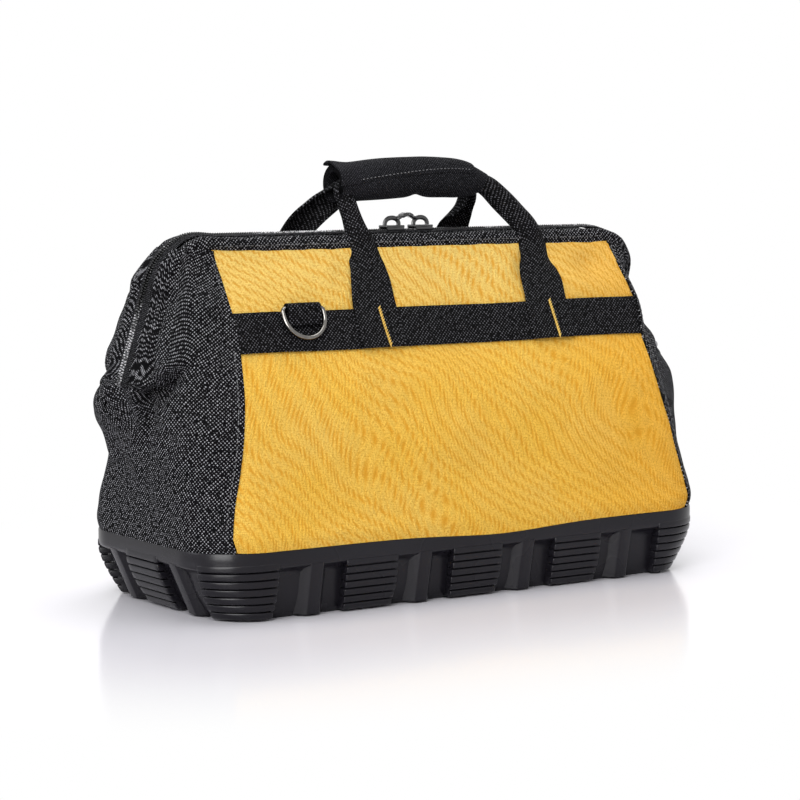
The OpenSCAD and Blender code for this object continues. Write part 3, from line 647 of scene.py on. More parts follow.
class BAG_OT_materials(bpy.types.Operator):
    """Makes the bag's finishes and gives them to the CAD pieces that stay in view"""

    bl_idname = "bag.materials"
    bl_label = "Finishes"

    def execute(self, context):
        c = context.scene.bag_colours
        thread = context.scene.bag_sizes.thread
        # Polyester coloured through the fibre by solution dyeing, in plain weave: matt and faintly
        # rippled; its upper edge is painted lighter as painted light, and its right side and
        # troughs darker as painted shade
        cloth_look("panel_polyester", c.yellow, c.yellow_light, c.yellow_trough_shade, thread,
                   ripple=0.0005, rough=0.8)
        # Black polyester with pale filaments, drawn coarser to show; their glints where they catch
        # the light are painted in as painted highlights, with painted shade in the weave's troughs
        cloth_look("end_polyester", c.black, "#131315", "#040405", thread * 1.6,
                   glint=c.black_thread_glint, diagonal=True)
        # Woven polypropylene webbing: coarser yarns in a slanting weave, with painted glints on its
        # threads and painted shade in its troughs
        cloth_look("polypropylene_webbing", c.webbing, "#0D0D0E", "#040404", thread * 1.65,
                   glint=c.webbing_thread_glint, rough=0.7, diagonal=True)
        # Tightly woven zip tape with its cord rows, painted glints on its threads and painted shade
        # in its troughs
        cloth_look("zip_tape_twill", "#121213", "#18181A", "#060606", thread, glint="#5C5C60",
                   rough=0.75, ribs=0.0022)
        # Cloth of the padded grip, denser and softer than the ends, with painted glints on its
        # threads and painted shade in its troughs
        cloth_look("grip_polyester", "#151517", "#202023", "#08080A", thread * 1.2, glint="#4A4A4E",
                   rough=0.8, diagonal=True)
        # Rubberised coating inside the cloth, with a dull rubbery sheen
        solid_look("coated_lining", c.lining, "#2A2A2B", 0.55, 0.0012, 0.0002, gloss=0.3)
        # Injection-moulded polypropylene with a fine spark texture
        solid_look("moulded_polypropylene", c.plastic, "#1C1B20", 0.27, 0.0006, 0.00002, gloss=0.2)
        # Pressed fibre board, matt and mottled
        solid_look("fibre_board", "#2B2B2D", "#3A3936", 0.8, 0.002, 0.0002)
        # Nickel plate: bright and faintly hazed
        solid_look("nickel_plate", "#807D79", "#64625F", 0.16, 0.004, 0.00001, metal=1.0)
        # Zinc-plated steel of the wires, hinge tabs and pins: grey and satin
        solid_look("plated_steel", "#A9A9AC", "#8D8D90", 0.38, 0.003, 0.00003, metal=1.0)
        # Black enamel on the die-cast sliders and pulls, with a wet gleam
        solid_look("black_enamel", "#08080A", "#141416", 0.16, 0.002, 0.00001, coat=0.6)
        # Nylon coil of the zip, black with white glints painted into its colour as painted
        # highlights
        solid_look("nylon_coil", "#0E0E0F", "#D4D4D6", 0.3, 0.0011, 0.00002, gloss=0.25,
                   share_at=(0.27, 0.34))
        # Bonded polyester thread: cream on the bartacks and dark grey in the seams
        solid_look("pale_thread", c.bartack, "#C99B3A", 0.6, 0.0006, 0.0001)
        solid_look("dark_thread", "#3B3B3D", "#6A6A6C", 0.6, 0.0006, 0.0001)
        for node in ("left_hinge_tab", "right_hinge_tab", "left_hinge_pin", "right_hinge_pin",
                     "front_hinge_lugs", "rear_hinge_lugs"):
            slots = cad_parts[node].data.materials
            slots.clear()
            slots.append(LOOKS["plated_steel"])
        return {"FINISHED"}


# Moulded base

EDGE_RUN, END_RUN, ARC_RUN = HALF_L - BASE_R, HALF_W - BASE_R, BASE_R * math.pi / 2
ROUND_RUN = 4 * (EDGE_RUN + END_RUN + ARC_RUN)
WALL = RECESS + FLOOR_T
# How high the lowest rib starts, and how far a pad's body lies back behind its ribs
FOOT_Z, PAD_BACK = 1.2, 2.1
END_PAD_HALF = 20.0
# Where a corner pad starts before the corner's arc and how far it goes round it
CORNER_START, CORNER_TURN = 9.0, 66 * DEG
# Half widths at which a pillar's section is cut, and how far each lies back
CREST = np.array(((0, 0.2), (3.6, 0.2), (4.3, 0.35), (4.9, 0.8), (7.5, 3.8), (10.5, 7.2)))
PILLAR_WIDTH = 21.0
# How far the floor board ends inside the base's outline, at the ends and at the sides
BOARD_GAP_L, BOARD_GAP_W = 28.0, 20.0
# Inset and height up the outside, over the rim and down the inside
TRAY = np.array([
    (WALL + 9, 1.2), (RECESS + 4, 0.3), (RECESS + 1.2, 0.0), (RECESS + 0.3, 1.2),
    (RECESS, 4), (RECESS, 9), (RECESS, 16), (RECESS, FLANGE_Z - 6.5),
    (RECESS - 0.7, FLANGE_Z - 3.8), (RECESS - 2.4, FLANGE_Z - 1.8), (2.6, FLANGE_Z - 0.6),
    (1.0, FLANGE_Z + 0.4), (0.2, FLANGE_Z + 1.6), (0, FLANGE_Z + 3.0), (0, BASE_H - 6),
    (0, BASE_H - 1.4), (0.3, BASE_H - 0.5), (1.0, BASE_H), (FLANGE_WALL - 0.8, BASE_H),
    (FLANGE_WALL, BASE_H - 0.7), (FLANGE_WALL, BASE_H - 4), (FLANGE_WALL, FLANGE_Z + 1),
    (FLANGE_WALL + 1, FLANGE_Z), (WALL - 0.6, FLANGE_Z), (WALL, FLANGE_Z - 0.6),
    (WALL, FLANGE_Z - 6), (WALL, 19), (WALL, 12), (WALL, FLOOR_T + 3), (WALL + 1, FLOOR_T),
    (WALL + 9, FLOOR_T)])


def outline(s, inset):
    """Places on the base's outline at a run from the front middle, counter-clockwise."""
    half = ROUND_RUN / 2
    s = np.mod(s, ROUND_RUN)
    flip = np.where(s >= half, -1.0, 1.0)
    run = np.mod(s, half)
    r = BASE_R - inset
    arc = run - EDGE_RUN
    end = arc - ARC_RUN
    second = end - 2 * END_RUN
    back = second - ARC_RUN
    parts = [arc < 0, end < 0, second < 0, back < 0]
    x = np.select(parts, [run, EDGE_RUN + r * np.sin(arc / BASE_R), HALF_L - inset + 0 * run,
                          EDGE_RUN + r * np.cos(second / BASE_R)], EDGE_RUN - back)
    y = np.select(parts, [-HALF_W + inset + 0 * run, -END_RUN - r * np.cos(arc / BASE_R),
                          end - END_RUN, END_RUN + r * np.sin(second / BASE_R)],
                  HALF_W - inset)
    return x * flip, y * flip


def outline_at(s, inset, z):
    """Outline places, each with its own inset and height; the foot tucks in like a hull."""
    x0, y0 = outline(s, 0.0)
    x1, y1 = outline(s, 1.0)
    low = 1 - np.clip(z / FLANGE_Z, 0, 1)
    inset = inset + (TUCK_SIDE + (TUCK_END - TUCK_SIDE) * np.abs(x1 - x0)) * low ** 1.6
    return xyz(x0 + (x1 - x0) * inset, y0 + (y1 - y0) * inset, z)


def tray(u, v):
    """The tray's wall and rim, swept round the outline."""
    inset, z = at_rows(TRAY, v * (len(TRAY) - 1)).T
    return outline_at(u * ROUND_RUN, inset, z)


def pad_blocks(s0, s1, groove, at_corner):
    """A ribbed pad between two runs: its ribs and the plain body behind them."""
    # The lowest rib stands clear of the floor and the highest is flush with the flange
    low, high = FOOT_Z, FLANGE_Z + (4.4 if at_corner else 2.0)
    pitch = (high - low) / RIBS
    deep = RECESS + 2
    cuts = max(2, int((s1 - s0) / 5))

    def bent(z, height, inset):
        """Wraps a block round the outline."""
        def shape(p):
            return outline_at((s0 + s1) / 2 + p[:, 0], inset + deep / 2 + p[:, 1],
                              z + height / 2 + p[:, 2])
        return shape

    made = []
    for k in range(RIBS):
        inset = 0.1 + 0.5 * (1 - k / (RIBS - 1))
        if at_corner:
            # At the ends and corners the top rib is cut into the flange's face
            inset -= 0.5 * step(2, 6, k)
        # The ends of the lower ribs draw in, so that the pad's foot is rounded
        draw = 2.4 * max(0, 1 - k / 2)
        made.append(block("rib", (s1 - s0 - draw, deep, pitch - groove),
                          "moulded_polypropylene", bevel=1.1, segments=3, cuts=cuts,
                          shape=bent(low + k * pitch, pitch - groove, inset)))
    tall = high - low - 1
    made.append(block("pad", (s1 - s0 - 1.4, deep, tall), "moulded_polypropylene", bevel=0.8,
                      cuts=cuts, shape=bent(low + 0.2, tall, PAD_BACK)))
    return made


def pillar_block(s):
    """A pillar with a flat face between two sloping ones, its foot tucked in."""
    def faceted(p):
        wide, back = at_rows(CREST, np.abs(p[:, 0]) / (PILLAR_WIDTH / 2 / (len(CREST) - 1))).T
        return outline_at(s + np.sign(p[:, 0]) * wide,
                          np.where(p[:, 1] < 0, back, RECESS + 2),
                          FLANGE_Z / 2 + 0.5 + p[:, 2] + 0.8)
    return block("pillar", (PILLAR_WIDTH, RECESS + 2, FLANGE_Z), "moulded_polypropylene", bevel=0.0,
                 cuts=9, shape=faceted)


def floor_sheet(u, v):
    """Stiffener with rounded corners that lies a little wavy on the tray's floor."""
    r = BASE_R - WALL - 4
    a, b = HALF_L - BOARD_GAP_L, HALF_W - BOARD_GAP_W
    x, y = (2 * u - 1) * a, (2 * v - 1) * b
    cx, cy = np.clip(x, r - a, a - r), np.clip(y, r - b, b - r)
    reach = np.minimum(1, r / np.maximum(1e-6, np.hypot(x - cx, y - cy)))
    return xyz(cx + (x - cx) * reach, cy + (y - cy) * reach,
               FLOOR_T + 2.6 + 0.3 * waves(x, y, 160, 91, 4))


class BAG_OT_base(bpy.types.Operator):
    """Moulds the base: a walled tray with ribbed pads and plain pillars round it"""

    bl_idname = "bag.base"
    bl_label = "Base"

    def execute(self, context):
        piece = mould("base_wall", 320, len(TRAY) - 1, tray, "moulded_polypropylene", around=True,
                      smooth_deg=35)
        declare(piece, "base_plastic", "body", "base_tray")

        half = ROUND_RUN / 2
        end = EDGE_RUN + ARC_RUN + END_RUN
        a, b = EDGE_RUN - CORNER_START, EDGE_RUN + CORNER_TURN * BASE_R
        spans = [(x + turn - PAD_W / 2, x + turn + PAD_W / 2)
                 for turn in (0, half) for x in (-PAD_PITCH, 0, PAD_PITCH)]
        ends = [(end - END_PAD_HALF, end + END_PAD_HALF),
                (half + end - END_PAD_HALF, half + end + END_PAD_HALF),
                (a, b), (half - b, half - a), (half + a, half + b),
                (ROUND_RUN - b, ROUND_RUN - a)]
        groove = context.scene.bag_sizes.groove / MM
        parts = []
        for index, (s0, s1) in enumerate(spans + ends):
            parts += pad_blocks(s0, s1, groove, index >= len(spans))
        declare(together("base_ribbed_pads", parts), "base_plastic", "body")

        off = END_PAD_W / 2 + PILLAR_W * 1.05
        places = [turn + x * PAD_PITCH for turn in (0, half) for x in (-1.5, -0.5, 0.5, 1.5)]
        places += [end - off, end + off, half + end - off, half + end + off]
        piece = together("base_pillars", [pillar_block(s) for s in places])
        declare(piece, "base_plastic", "body")

        piece = mould("floor_board", 80, 36, floor_sheet, "fibre_board", thick=2.0, out=(0, 0, 1),
                      edge=0.5)
        declare(piece, "board", "body", "base_board")
        return {"FINISHED"}


# Cloth shell

LOW_Z, TOP_Z = 34.0, 227.5
# Heights of the cloth's rows, close together where it comes over the rim
ROWS_AT = (0, 0.02, 0.04, 0.08, 0.12, 0.16, 0.2, 1)
ROWS_Z = (LOW_Z, BASE_H - 1.5, BASE_H - 1.1, BASE_H - 0.3, BASE_H + 0.3, BASE_H + 1.5,
          BASE_H + 4, TOP_Z)


def rim_inset(z, edge=BASE_H):
    """How far the cloth lies in from its face: under the rim, then out and full over it."""
    over = step(edge - 1.2, edge - 0.2, z)
    return 3.5 * (1 - over) - 3.2 * over * (1 - step(edge + 1, edge + 16, z))


def flare(x, z):
    """How the front panel's right edge stands out between the band and the hem."""
    return x + 8.5 * bump(z, 182, 30) * step(95, 157, x)


def panel_dents(x, z, half):
    """Soft dents of a panel, in millimetres outwards."""
    size = bpy.context.scene.bag_sizes.wrinkle / MM
    held = step(46, 80, z) * (1 - step(214, 226, z))
    seed = 3 if half == "front" else 13
    out = size * held * (waves(x, z, 75, seed) + 0.35 * waves(x, z, 28, seed + 2))
    if half == "rear":
        return out
    # Dent beside the right strap, and the pull of each strap on the hem
    out = out - 5.5 * bump(x, 133, 13) * bump(z, 208, 8)
    out = out + 2.2 * bump(x, 121, 12) * bump(z, 199, 9)
    pull = 2.6 * bump(x - 0.3 * (z - 200), 74, 6) + 1.8 * bump(x - 0.25 * (z - 200), -70, 7)
    return out - pull * step(190, 206, z) * (1 - step(209, 221, z))


def panel_y(x, z, half):
    """Depth of a panel with its dents, at a place along it as seen from its own side."""
    return face_y(x, z) + panel_dents(x, z, half)


def laid_y(x, z, half, lift):
    """Y of a place that lies on a panel, lifted off it."""
    sign = dict(HALVES)[half]
    return sign * (panel_y(-sign * x, z, half) + lift)


class BAG_OT_panels(bpy.types.Operator):
    """Moulds the front and rear cloth panels"""

    bl_idname = "bag.panels"
    bl_label = "Panels"

    def execute(self, context):
        looks = ["panel_polyester", "coated_lining"]
        for half, sign in HALVES:
            def place(u, v):
                z = np.interp(v, ROWS_AT, ROWS_Z)
                x = (2 * u - 1) * (seam(z) + 0.6)
                edge = BASE_H
                if sign < 0:
                    # The front panel sags a little over the rim to the right of the middle,
                    # and its top reaches higher at the left, where the hem is narrow
                    edge = BASE_H - 3.4 * bump(x, 18, 52)
                    z = z + 3.6 * (1 - step(-157, -110, x)) * step(200, TOP_Z, z)
                z = z + (edge - BASE_H) * (1 - step(BASE_H, BASE_H + 28, z))
                y = (panel_y(x, np.maximum(z, BASE_H), half) - rim_inset(z, edge)
                     - 1.4 * step(222, 226.5, z))
                return turned(half, xyz(flare(x, z) if sign < 0 else x, -y, z))
            piece = mould(half + "_panel", 150, 100, place, looks, thick=CLOTH - 0.4,
                          out=turned(half, (0, -1, 0)))
            declare(piece, "yellow_cloth", None, half + "_panel_lower", half + "_panel_upper")
            sewn(piece)
        return {"FINISHED"}


def end_section(f, z):
    """Section of an end: closed at the ridge below the zip, round the hem's rod above it."""
    opening = step(146, 158, z)
    xe = ridge(z) * (1 - opening) + (zip_x(z) - 0.6) * opening
    xe = np.minimum(xe, zip_x(z) - 0.6 * opening)
    ye = 4.0 * opening
    a, side = corner(z), depth(z) - radius(z)
    hug = step(118, 150, z)
    px = (a + xe) / 2 * (1 - hug) + (zip_x(z) + 3.5) * hug
    py = (side + ye) / 2 * (1 - hug) + 17.5 * hug
    return quarter(f, z, (xe, ye), (px, py))


def end_at(f, f1, f2, z):
    """Places of an end at a share of its section, and the way outwards between two shares."""
    x, y = end_section(f, z)
    x1, y1 = end_section(np.clip(f1, 0, 1), z)
    x2, y2 = end_section(np.clip(f2, 0, 1), z)
    size = np.maximum(1e-6, np.hypot(x2 - x1, y2 - y1))
    return x, y, (y1 - y2) / size, (x2 - x1) / size


# Folds of an end: places (y, z), depth at each place, width on either side of the line
FOLDS = (
    (((8.5, 108), (13, 122), (18, 137), (30, 148), (47, 158)), (0, 0.5, 1.0, 1.0, 0), 2.6, 8.0),
    (((14, 120), (34, 112), (58, 106)), (0, 0.22, 0), 4.0, 7.0),
    (((10, 96), (32, 84), (60, 92)), (0, 0.2, 0), 5.0, 8.0),
    (((17, 208), (16, 185), (18, 158)), (0, 0.16, 0), 2.5, 4.0),
    (((28, 212), (24, 196), (30, 176)), (0, 0.22, 0), 3.0, 4.5),
)


def end_dents(y, z, seed, strong):
    """Wrinkles of an end and the pleats under the zip, in millimetres outwards."""
    sizes = bpy.context.scene.bag_sizes
    out = sizes.wrinkle / MM * step(48, 75, z) * (
        1.5 * waves(y, z, 48, seed) + 0.7 * waves(y, z, 20, seed + 1))
    for path, depths, near_width, far_width in FOLDS:
        path = np.array(path, float)
        deep = np.array(depths) * sizes.pleat / MM * strong
        near = np.full_like(z, 1e9)
        sunk = np.zeros_like(z)
        for a, b, deep_a, deep_b in zip(path[:-1], path[1:], deep[:-1], deep[1:]):
            along = b - a
            t = np.clip(((y - a[0]) * along[0] + (z - a[1]) * along[1]) / (along @ along), 0, 1)
            gap = np.hypot(y - a[0] - t * along[0], z - a[1] - t * along[1])
            steep = along[0] * (z - a[1]) > along[1] * (y - a[0])
            # The cloth stands up in a lip beside the steep side of the fold
            here = (deep_a * (1 - t) + deep_b * t) * (
                bump(gap, 0, np.where(steep, near_width, far_width))
                - 0.3 * bump(gap, 6, 4) * steep)
            sunk = np.where(gap < near, here, sunk)
            near = np.minimum(near, gap)
        out = out - sunk
    return out


def fullness(u, z, half, side):
    """How much fuller than its frame a quarter hangs, in millimetres."""
    middle = np.sin(math.pi * np.clip(u, 0, 1))
    if (half, side) == ("rear", "left"):
        return middle * (6.0 * step(95, 130, z) * (1 - step(205, 224, z)) + 6.5 * bump(z, 128, 18))
    if (half, side) == ("front", "right"):
        # The hidden end is slack and has sunk in behind its seam
        return middle ** 2 * (-7.0 * bump(z, 88, 22) - 1.0 * bump(z, 138, 24)
                              - 9.0 * bump(z, 190, 22))
    if (half, side) == ("front", "left"):
        return middle * 2.5 * bump(z, 90, 30)
    return middle * 3.0 * bump(z, 110, 40)


class BAG_OT_ends(bpy.types.Operator):
    """Moulds the end cloth in four quarters"""

    bl_idname = "bag.ends"
    bl_label = "Ends"

    def execute(self, context):
        looks = ["end_polyester", "coated_lining"]
        quarters = (("front", "left", -1, -1, 21, 1.0), ("front", "right", 1, -1, 31, 0.7),
                    ("rear", "left", -1, 1, 41, 0.8), ("rear", "right", 1, 1, 51, 0.9))
        for half, side, sx, sy, seed, strong in quarters:
            def place(u, v):
                z = np.interp(v, ROWS_AT, ROWS_Z)
                zz = np.maximum(z, BASE_H)
                x, y, nx, ny = end_at(u, u - 0.01, u + 0.01, zz)
                hem = (0.9 + 2.2 * bump(zz, 176, 16)) * (1 - step(0.0, 0.08, u))
                # The overlap that closes the two quarters at the ridge stays flat
                fade = step(0.02, 0.15, u) * (1 - step(0.9, 1.0, u)) * (1 - step(212, 226, zz))
                out = (end_dents(y, zz, seed, strong) * fade + hem
                       + fullness(u, zz, half, side) - rim_inset(z))
                x = sx * (x + nx * out)
                hung, z = slump(x, z)
                if half == "front":
                    x = x + (flare(x, z) - x) * (1 - step(0.0, 0.3, u))
                x = x + (hung - x) * step(0.05, 0.55, u)
                return xyz(x, sy * (y + ny * out), z)
            piece = mould(f"{half}_{side}_end", 64, 110, place, looks, thick=CLOTH - 0.4,
                          out=(sx, sy * 0.3, 0))
            nodes = [f"{half}_{side}_gusset"]
            if half == "front":
                nodes.append(f"{side}_end_panel")
            declare(piece, "black_cloth", None, *nodes)
            sewn(piece)
        return {"FINISHED"}


# Webbing

# How far the middle of a strap and of its bartack lies off the panel
STRAP_LIFT, TACK_LIFT = 3.9, 4.2
TACKS = {"front": (-46.5, 91), "rear": (-78, 58)}
TACK_THREADS = 30


class BAG_OT_bands(bpy.types.Operator):
    """Lays the webbing band across each panel"""

    bl_idname = "bag.bands"
    bl_label = "Bands"

    def execute(self, context):
        for half, sign in HALVES:
            def place(u, v):
                x = (2 * u - 1) * (SEAM_HIGH + 0.2)
                wander = 0.5 * waves(x, 0, 90, 61 if sign < 0 else 62, 4)
                z = BAND_Z + wander + v * (BAND_W - 0.6)
                lift = np.maximum(0.5 + 0.35 * waves(x, z, 40, 63, 4), 0.1)
                y = panel_y(x, z, half) + WEB + lift
                return turned(half, xyz(flare(x, z) if sign < 0 else x, -y, z))
            piece = mould(half + "_band_webbing", 160, 8, place, "polypropylene_webbing", thick=WEB,
                          out=turned(half, (0, -1, 0)), edge=0.5)
            declare(piece, "webbing", "mouth_" + half, half + "_band")
        return {"FINISHED"}


# A strap's middle, width and curl: x, y or on the panel, z, width, curl, twist
STRAPS = {
    ("front", "left"): [
        (-51, None, 163.5, 33, 0, 0), (-51, None, 176, 33, 0, 0),
        (-50.3, None, 189, 32, 0.1, 0), (-48, None, 203, 29.5, 0.3, 0.05),
        (-45.5, None, 217, 26, 0.5, 0.1), (-45.5, -22.3, 227, 22, 0.9, 0.1),
        (-48, -21.2, 236, 16.5, 1.4, 0.15), (-49.5, -17, 246, 13, 2.0, 0.2),
        (-50, -12.5, 255, 12.5, 2.3, 0.2), (-50, -9, 262, 12, 2.4, 0.1),
        (-44, -6.5, 267.5, 11, 2.4, 0)],
    ("front", "right"): [
        (86.5, None, 163.5, 34, 0, 0), (86.5, None, 176, 34, 0, 0),
        (87.5, None, 189, 33, 0.1, 0), (90, None, 201, 31.5, 0.3, -0.1),
        (93.5, None, 214, 29, 0.5, -0.1), (95, -22.3, 226.5, 25.5, 0.8, -0.1),
        (92.5, -21.4, 236, 21, 1.2, -0.2), (86, -17, 246.5, 19, 1.5, -0.3),
        (77.5, -12.5, 256.5, 17, 1.8, -0.3), (69, -9, 263.5, 15, 2.0, -0.2),
        (58, -7, 267, 12, 2.3, 0)],
    ("rear", "left"): [
        (-83, None, 163.5, 32, 0, 0), (-83, None, 176, 32, 0, 0),
        (-82.5, None, 189, 32, 0.1, 0), (-80.5, None, 203, 29, 0.3, 0),
        (-78, None, 217, 27, 0.5, 0), (-76, 22.3, 227, 26, 0.6, 0),
        (-73, 21, 236, 24, 0.8, 0.1), (-63, 17, 248, 21, 1.1, 0.1),
        (-54, 12.5, 256, 18, 1.5, 0), (-48, 9, 262, 14, 2.1, 0),
        (-42, 6.5, 267, 11, 2.4, 0)],
    ("rear", "right"): [
        (53, None, 163.5, 32, 0, 0), (53, None, 176, 32, 0, 0),
        (53, None, 189, 32, 0.1, 0), (53, None, 203, 32, 0.2, 0),
        (53, None, 217, 32, 0.2, 0), (52.5, 22.3, 227, 32, 0.3, 0.1),
        (52.5, 21, 236, 31.5, 0.4, 0.2), (53.5, 17, 246, 27, 0.8, 0.3),
        (54, 12.5, 253, 17, 1.6, 0.4), (53.5, 9, 261, 12, 2.3, 0.3),
        (49, 6.5, 267, 11, 2.4, 0)],
}


def strap_points(half, side):
    """Smooth stations of a strap: middle, width, curl and twist."""
    table = np.array([(x, laid_y(x, z, half, STRAP_LIFT) if y is None else y, z, *rest)
                      for x, y, z, *rest in STRAPS[half, side]], float)
    run = run_along(table[:, :3])
    at = np.linspace(0, run[-1], 61)
    return np.stack([smooth(np.stack([run, column], 1), at) for column in table.T], 1)


class BAG_OT_straps(bpy.types.Operator):
    """Runs each strap from the band over the hem into the grip, and sews its bartack"""

    bl_idname = "bag.straps"
    bl_label = "Handle straps"

    def execute(self, context):
        for half, side in STRAPS:
            rows = strap_points(half, side)
            sign = dict(HALVES)[half]

            def place(u, v):
                k = v * (len(rows) - 1)
                at = at_rows(rows, k)
                wide, curl, twist = at[:, 3:].T
                along = unit_rows(at_rows(np.gradient(rows[:, :3], axis=0), k))
                across = -sign * unit_rows(np.cross(along, (0.0, sign, 0.0)))
                up = np.cross(across, along)
                up *= np.sign(up[:, 1] * sign)[:, None]
                # Curling the strap about its middle makes it narrower and hollow
                curl = np.maximum(curl, 0.02)
                arc = wide / 2 / np.sin(np.minimum(curl, 1.45))
                turn = (2 * u - 1) * curl
                p, q = arc * np.sin(turn), arc * (np.cos(turn) - 1)
                p, q = (p * np.cos(twist) - q * np.sin(twist),
                        p * np.sin(twist) + q * np.cos(twist))
                flat = at[:, :3] + across * p[:, None] + up * q[:, None]
                # On the panel the strap follows the cloth
                low = 1 - step(205, 222, at[:, 2])
                lay = laid_y(flat[:, 0], np.clip(flat[:, 2], 50, 226), half, STRAP_LIFT)
                flat[:, 1] = flat[:, 1] * (1 - low) + lay * low
                return flat
            piece = mould(f"{half}_{side}_strap_webbing", 14, 90, place, "polypropylene_webbing",
                          thick=WEB, out=(0, sign, 0), edge=0.45)
            nodes = [f"{half}_{side}_strap"]
            if side == "left":
                nodes.append(half + "_handle_webbing")
            declare(piece, "webbing", None, *nodes)
            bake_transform(piece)
        # Cream bartacks slant across the band on each strap
        for half, sign in HALVES:
            k = np.arange(TACK_THREADS)
            z = BAND_Z + 0.8 + (BAND_W - 1.4) * k / (TACK_THREADS - 1)
            slant = np.where(k % 2, 0.35, -0.35) - 1.5 * (z - BAND_Z) / BAND_W
            rows = np.concatenate([
                xyz(x + slant, laid_y(x + slant, z, half, TACK_LIFT), z) for x in TACKS[half]])
            tilt = np.where(np.arange(len(rows)) % 2, -1.15, 1.0)
            piece = strewn(half + "_bartacks", bead(6, 4, (1.5, 0.45, 0.42)), rows, about_y(tilt),
                           "pale_thread")
            declare(piece, "webbing", "mouth_" + half)
        return {"FINISHED"}


# Mouth

# How far the zip lies out from its path, how far a row of its coil lies from the middle, and
# the radius of the wire in the hem
ZIP_OUT, COIL_Y, FRAME_R = 0.75, 1.75, 2.5


class BAG_OT_mouth(bpy.types.Operator):
    """Makes the hem sleeves, the mouth's wires, the zip's tapes and its coil"""

    bl_idname = "bag.mouth"
    bl_label = "Hem and zip"

    def execute(self, context):
        for half, sign in HALVES:
            body = "mouth_" + half

            def sleeve(u, v):
                x, z, turn = mouth_path(0.045 + 0.91 * u, SLEEVE_H / 2)
                c, s = np.cos(2 * math.pi * v), np.sin(2 * math.pi * v)
                # A rounded oblong section, a little slack and puckered along its seam
                slack = (1 + 0.05 * waves(u * 480, c * 8, 16, 71, 6)
                         + 0.03 * waves(u * 480, s * 8, 7, 72, 6))
                # Slim round the rod on the legs
                leg = step(0.5, 1.1, np.abs(turn))
                p, q = (size * np.sign(w) * np.abs(w) ** 0.7 * slack * (1 - 0.33 * leg)
                        for size, w in ((5.2, c), (6.1, s)))
                under = 1.0
                if sign < 0:
                    # The front hem is narrow at the left and droops at the right
                    under = (1 - 0.4 * (1 - step(-160, -95, x))
                             + 1.5 * step(85, 158, x) * (1 - leg))
                q = q * np.where(q < 0, under, 0.84 - 0.1 * leg)
                x, z = slump(x + q * np.sin(turn), z + q * np.cos(turn))
                return xyz(x, sign * (SLEEVE_Y + 0.9) + p, z)
            piece = mould(half + "_hem", 260, 24, sleeve, "end_polyester", around=True)
            declare(piece, "hem_cloth", body, half + "_sleeve")

            def tape(u, v):
                x, z, turn = mouth_path(u, -ZIP_OUT)
                rise = -0.7 * v ** 2 + 0.25 * waves(u * 480, v * 10, 22, 73, 5) * v
                x, z = slump(x + rise * np.sin(turn), z + rise * np.cos(turn))
                return xyz(x, sign * (2.4 + 7.0 * v), z)
            piece = mould(half + "_tape", 220, 6, tape, "zip_tape_twill", thick=0.8, out=(0, 0, 1),
                          edge=0.25)
            declare(piece, "zip_black", body, half + "_zip_tape")

            # Steel wire inside the hem, from hinge to hinge
            x, z, _ = mouth_path(np.linspace(0.0, 1.0, 121), SLEEVE_H / 2)
            x, z = slump(x, z)
            piece = mould(half + "_wire", 240, 14,
                          swept(xyz(x, sign * SLEEVE_Y, z), FRAME_R, FRAME_R),
                          "plated_steel", around=True)
            declare(piece, "steel", body, half + "_frame")

            # Coil: one rounded loop repeated, the two rows half a step apart
            path = 2 * (ZIP_HALF + ZIP_R * BEND + LEG_RUN)
            count = int(path / (context.scene.bag_sizes.tooth / MM))
            t = (np.arange(count) + (0.25 if sign < 0 else 0.75)) / count
            x, z, turn = mouth_path(t, -ZIP_OUT)
            x, z = slump(x, z)
            piece = strewn(half + "_coil", bead(8, 6, (0.6, 1.15, 1.0)), xyz(x, sign * COIL_Y, z),
                           about_y(turn), "nylon_coil")
            declare(piece, "zip_black", body, half + "_zip_teeth")
        return {"FINISHED"}


# Height of the slider's lower and upper plate, their thickness, and the pull's pivot
PLATE_LOW, PLATE_HIGH, PLATE, PULL_Z = CHAIN_Z - SAG - 2.9, CHAIN_Z - 1.6, 1.8, CHAIN_Z + 4.3
# How far out a pull's pivot lies when its slider is closed, and how the pull leans
PULL_X, PULL_LEAN = 7.6, 24 * DEG


def pull_eye(sx):
    """The pull's eye, a closed loop."""
    def place(u, v):
        a, b = 2 * math.pi * u, 2 * math.pi * v
        round_b = 0.75 * np.cos(b)
        return xyz(-sx * (1.6 + np.cos(a) * (2.3 + round_b)), np.sin(a) * (2.5 + round_b),
                   0.8 * np.sin(b))
    return mould("eye", 24, 10, place, "black_enamel", around=True, closed=True)


def pull_plate(sx):
    """The pull's plate, which swells towards its middle."""
    def swollen(p):
        wide = 0.75 + 0.3 * np.cos((p[:, 0] * -sx - 0.8) / 2.3)
        return xyz(p[:, 0], p[:, 1] * wide, p[:, 2])
    return block("tab", (4.4, 6.4, 2.6), "black_enamel", (-sx * 5.6, 0, 0), bevel=1.1, segments=4,
                 cuts=4, shape=swollen)


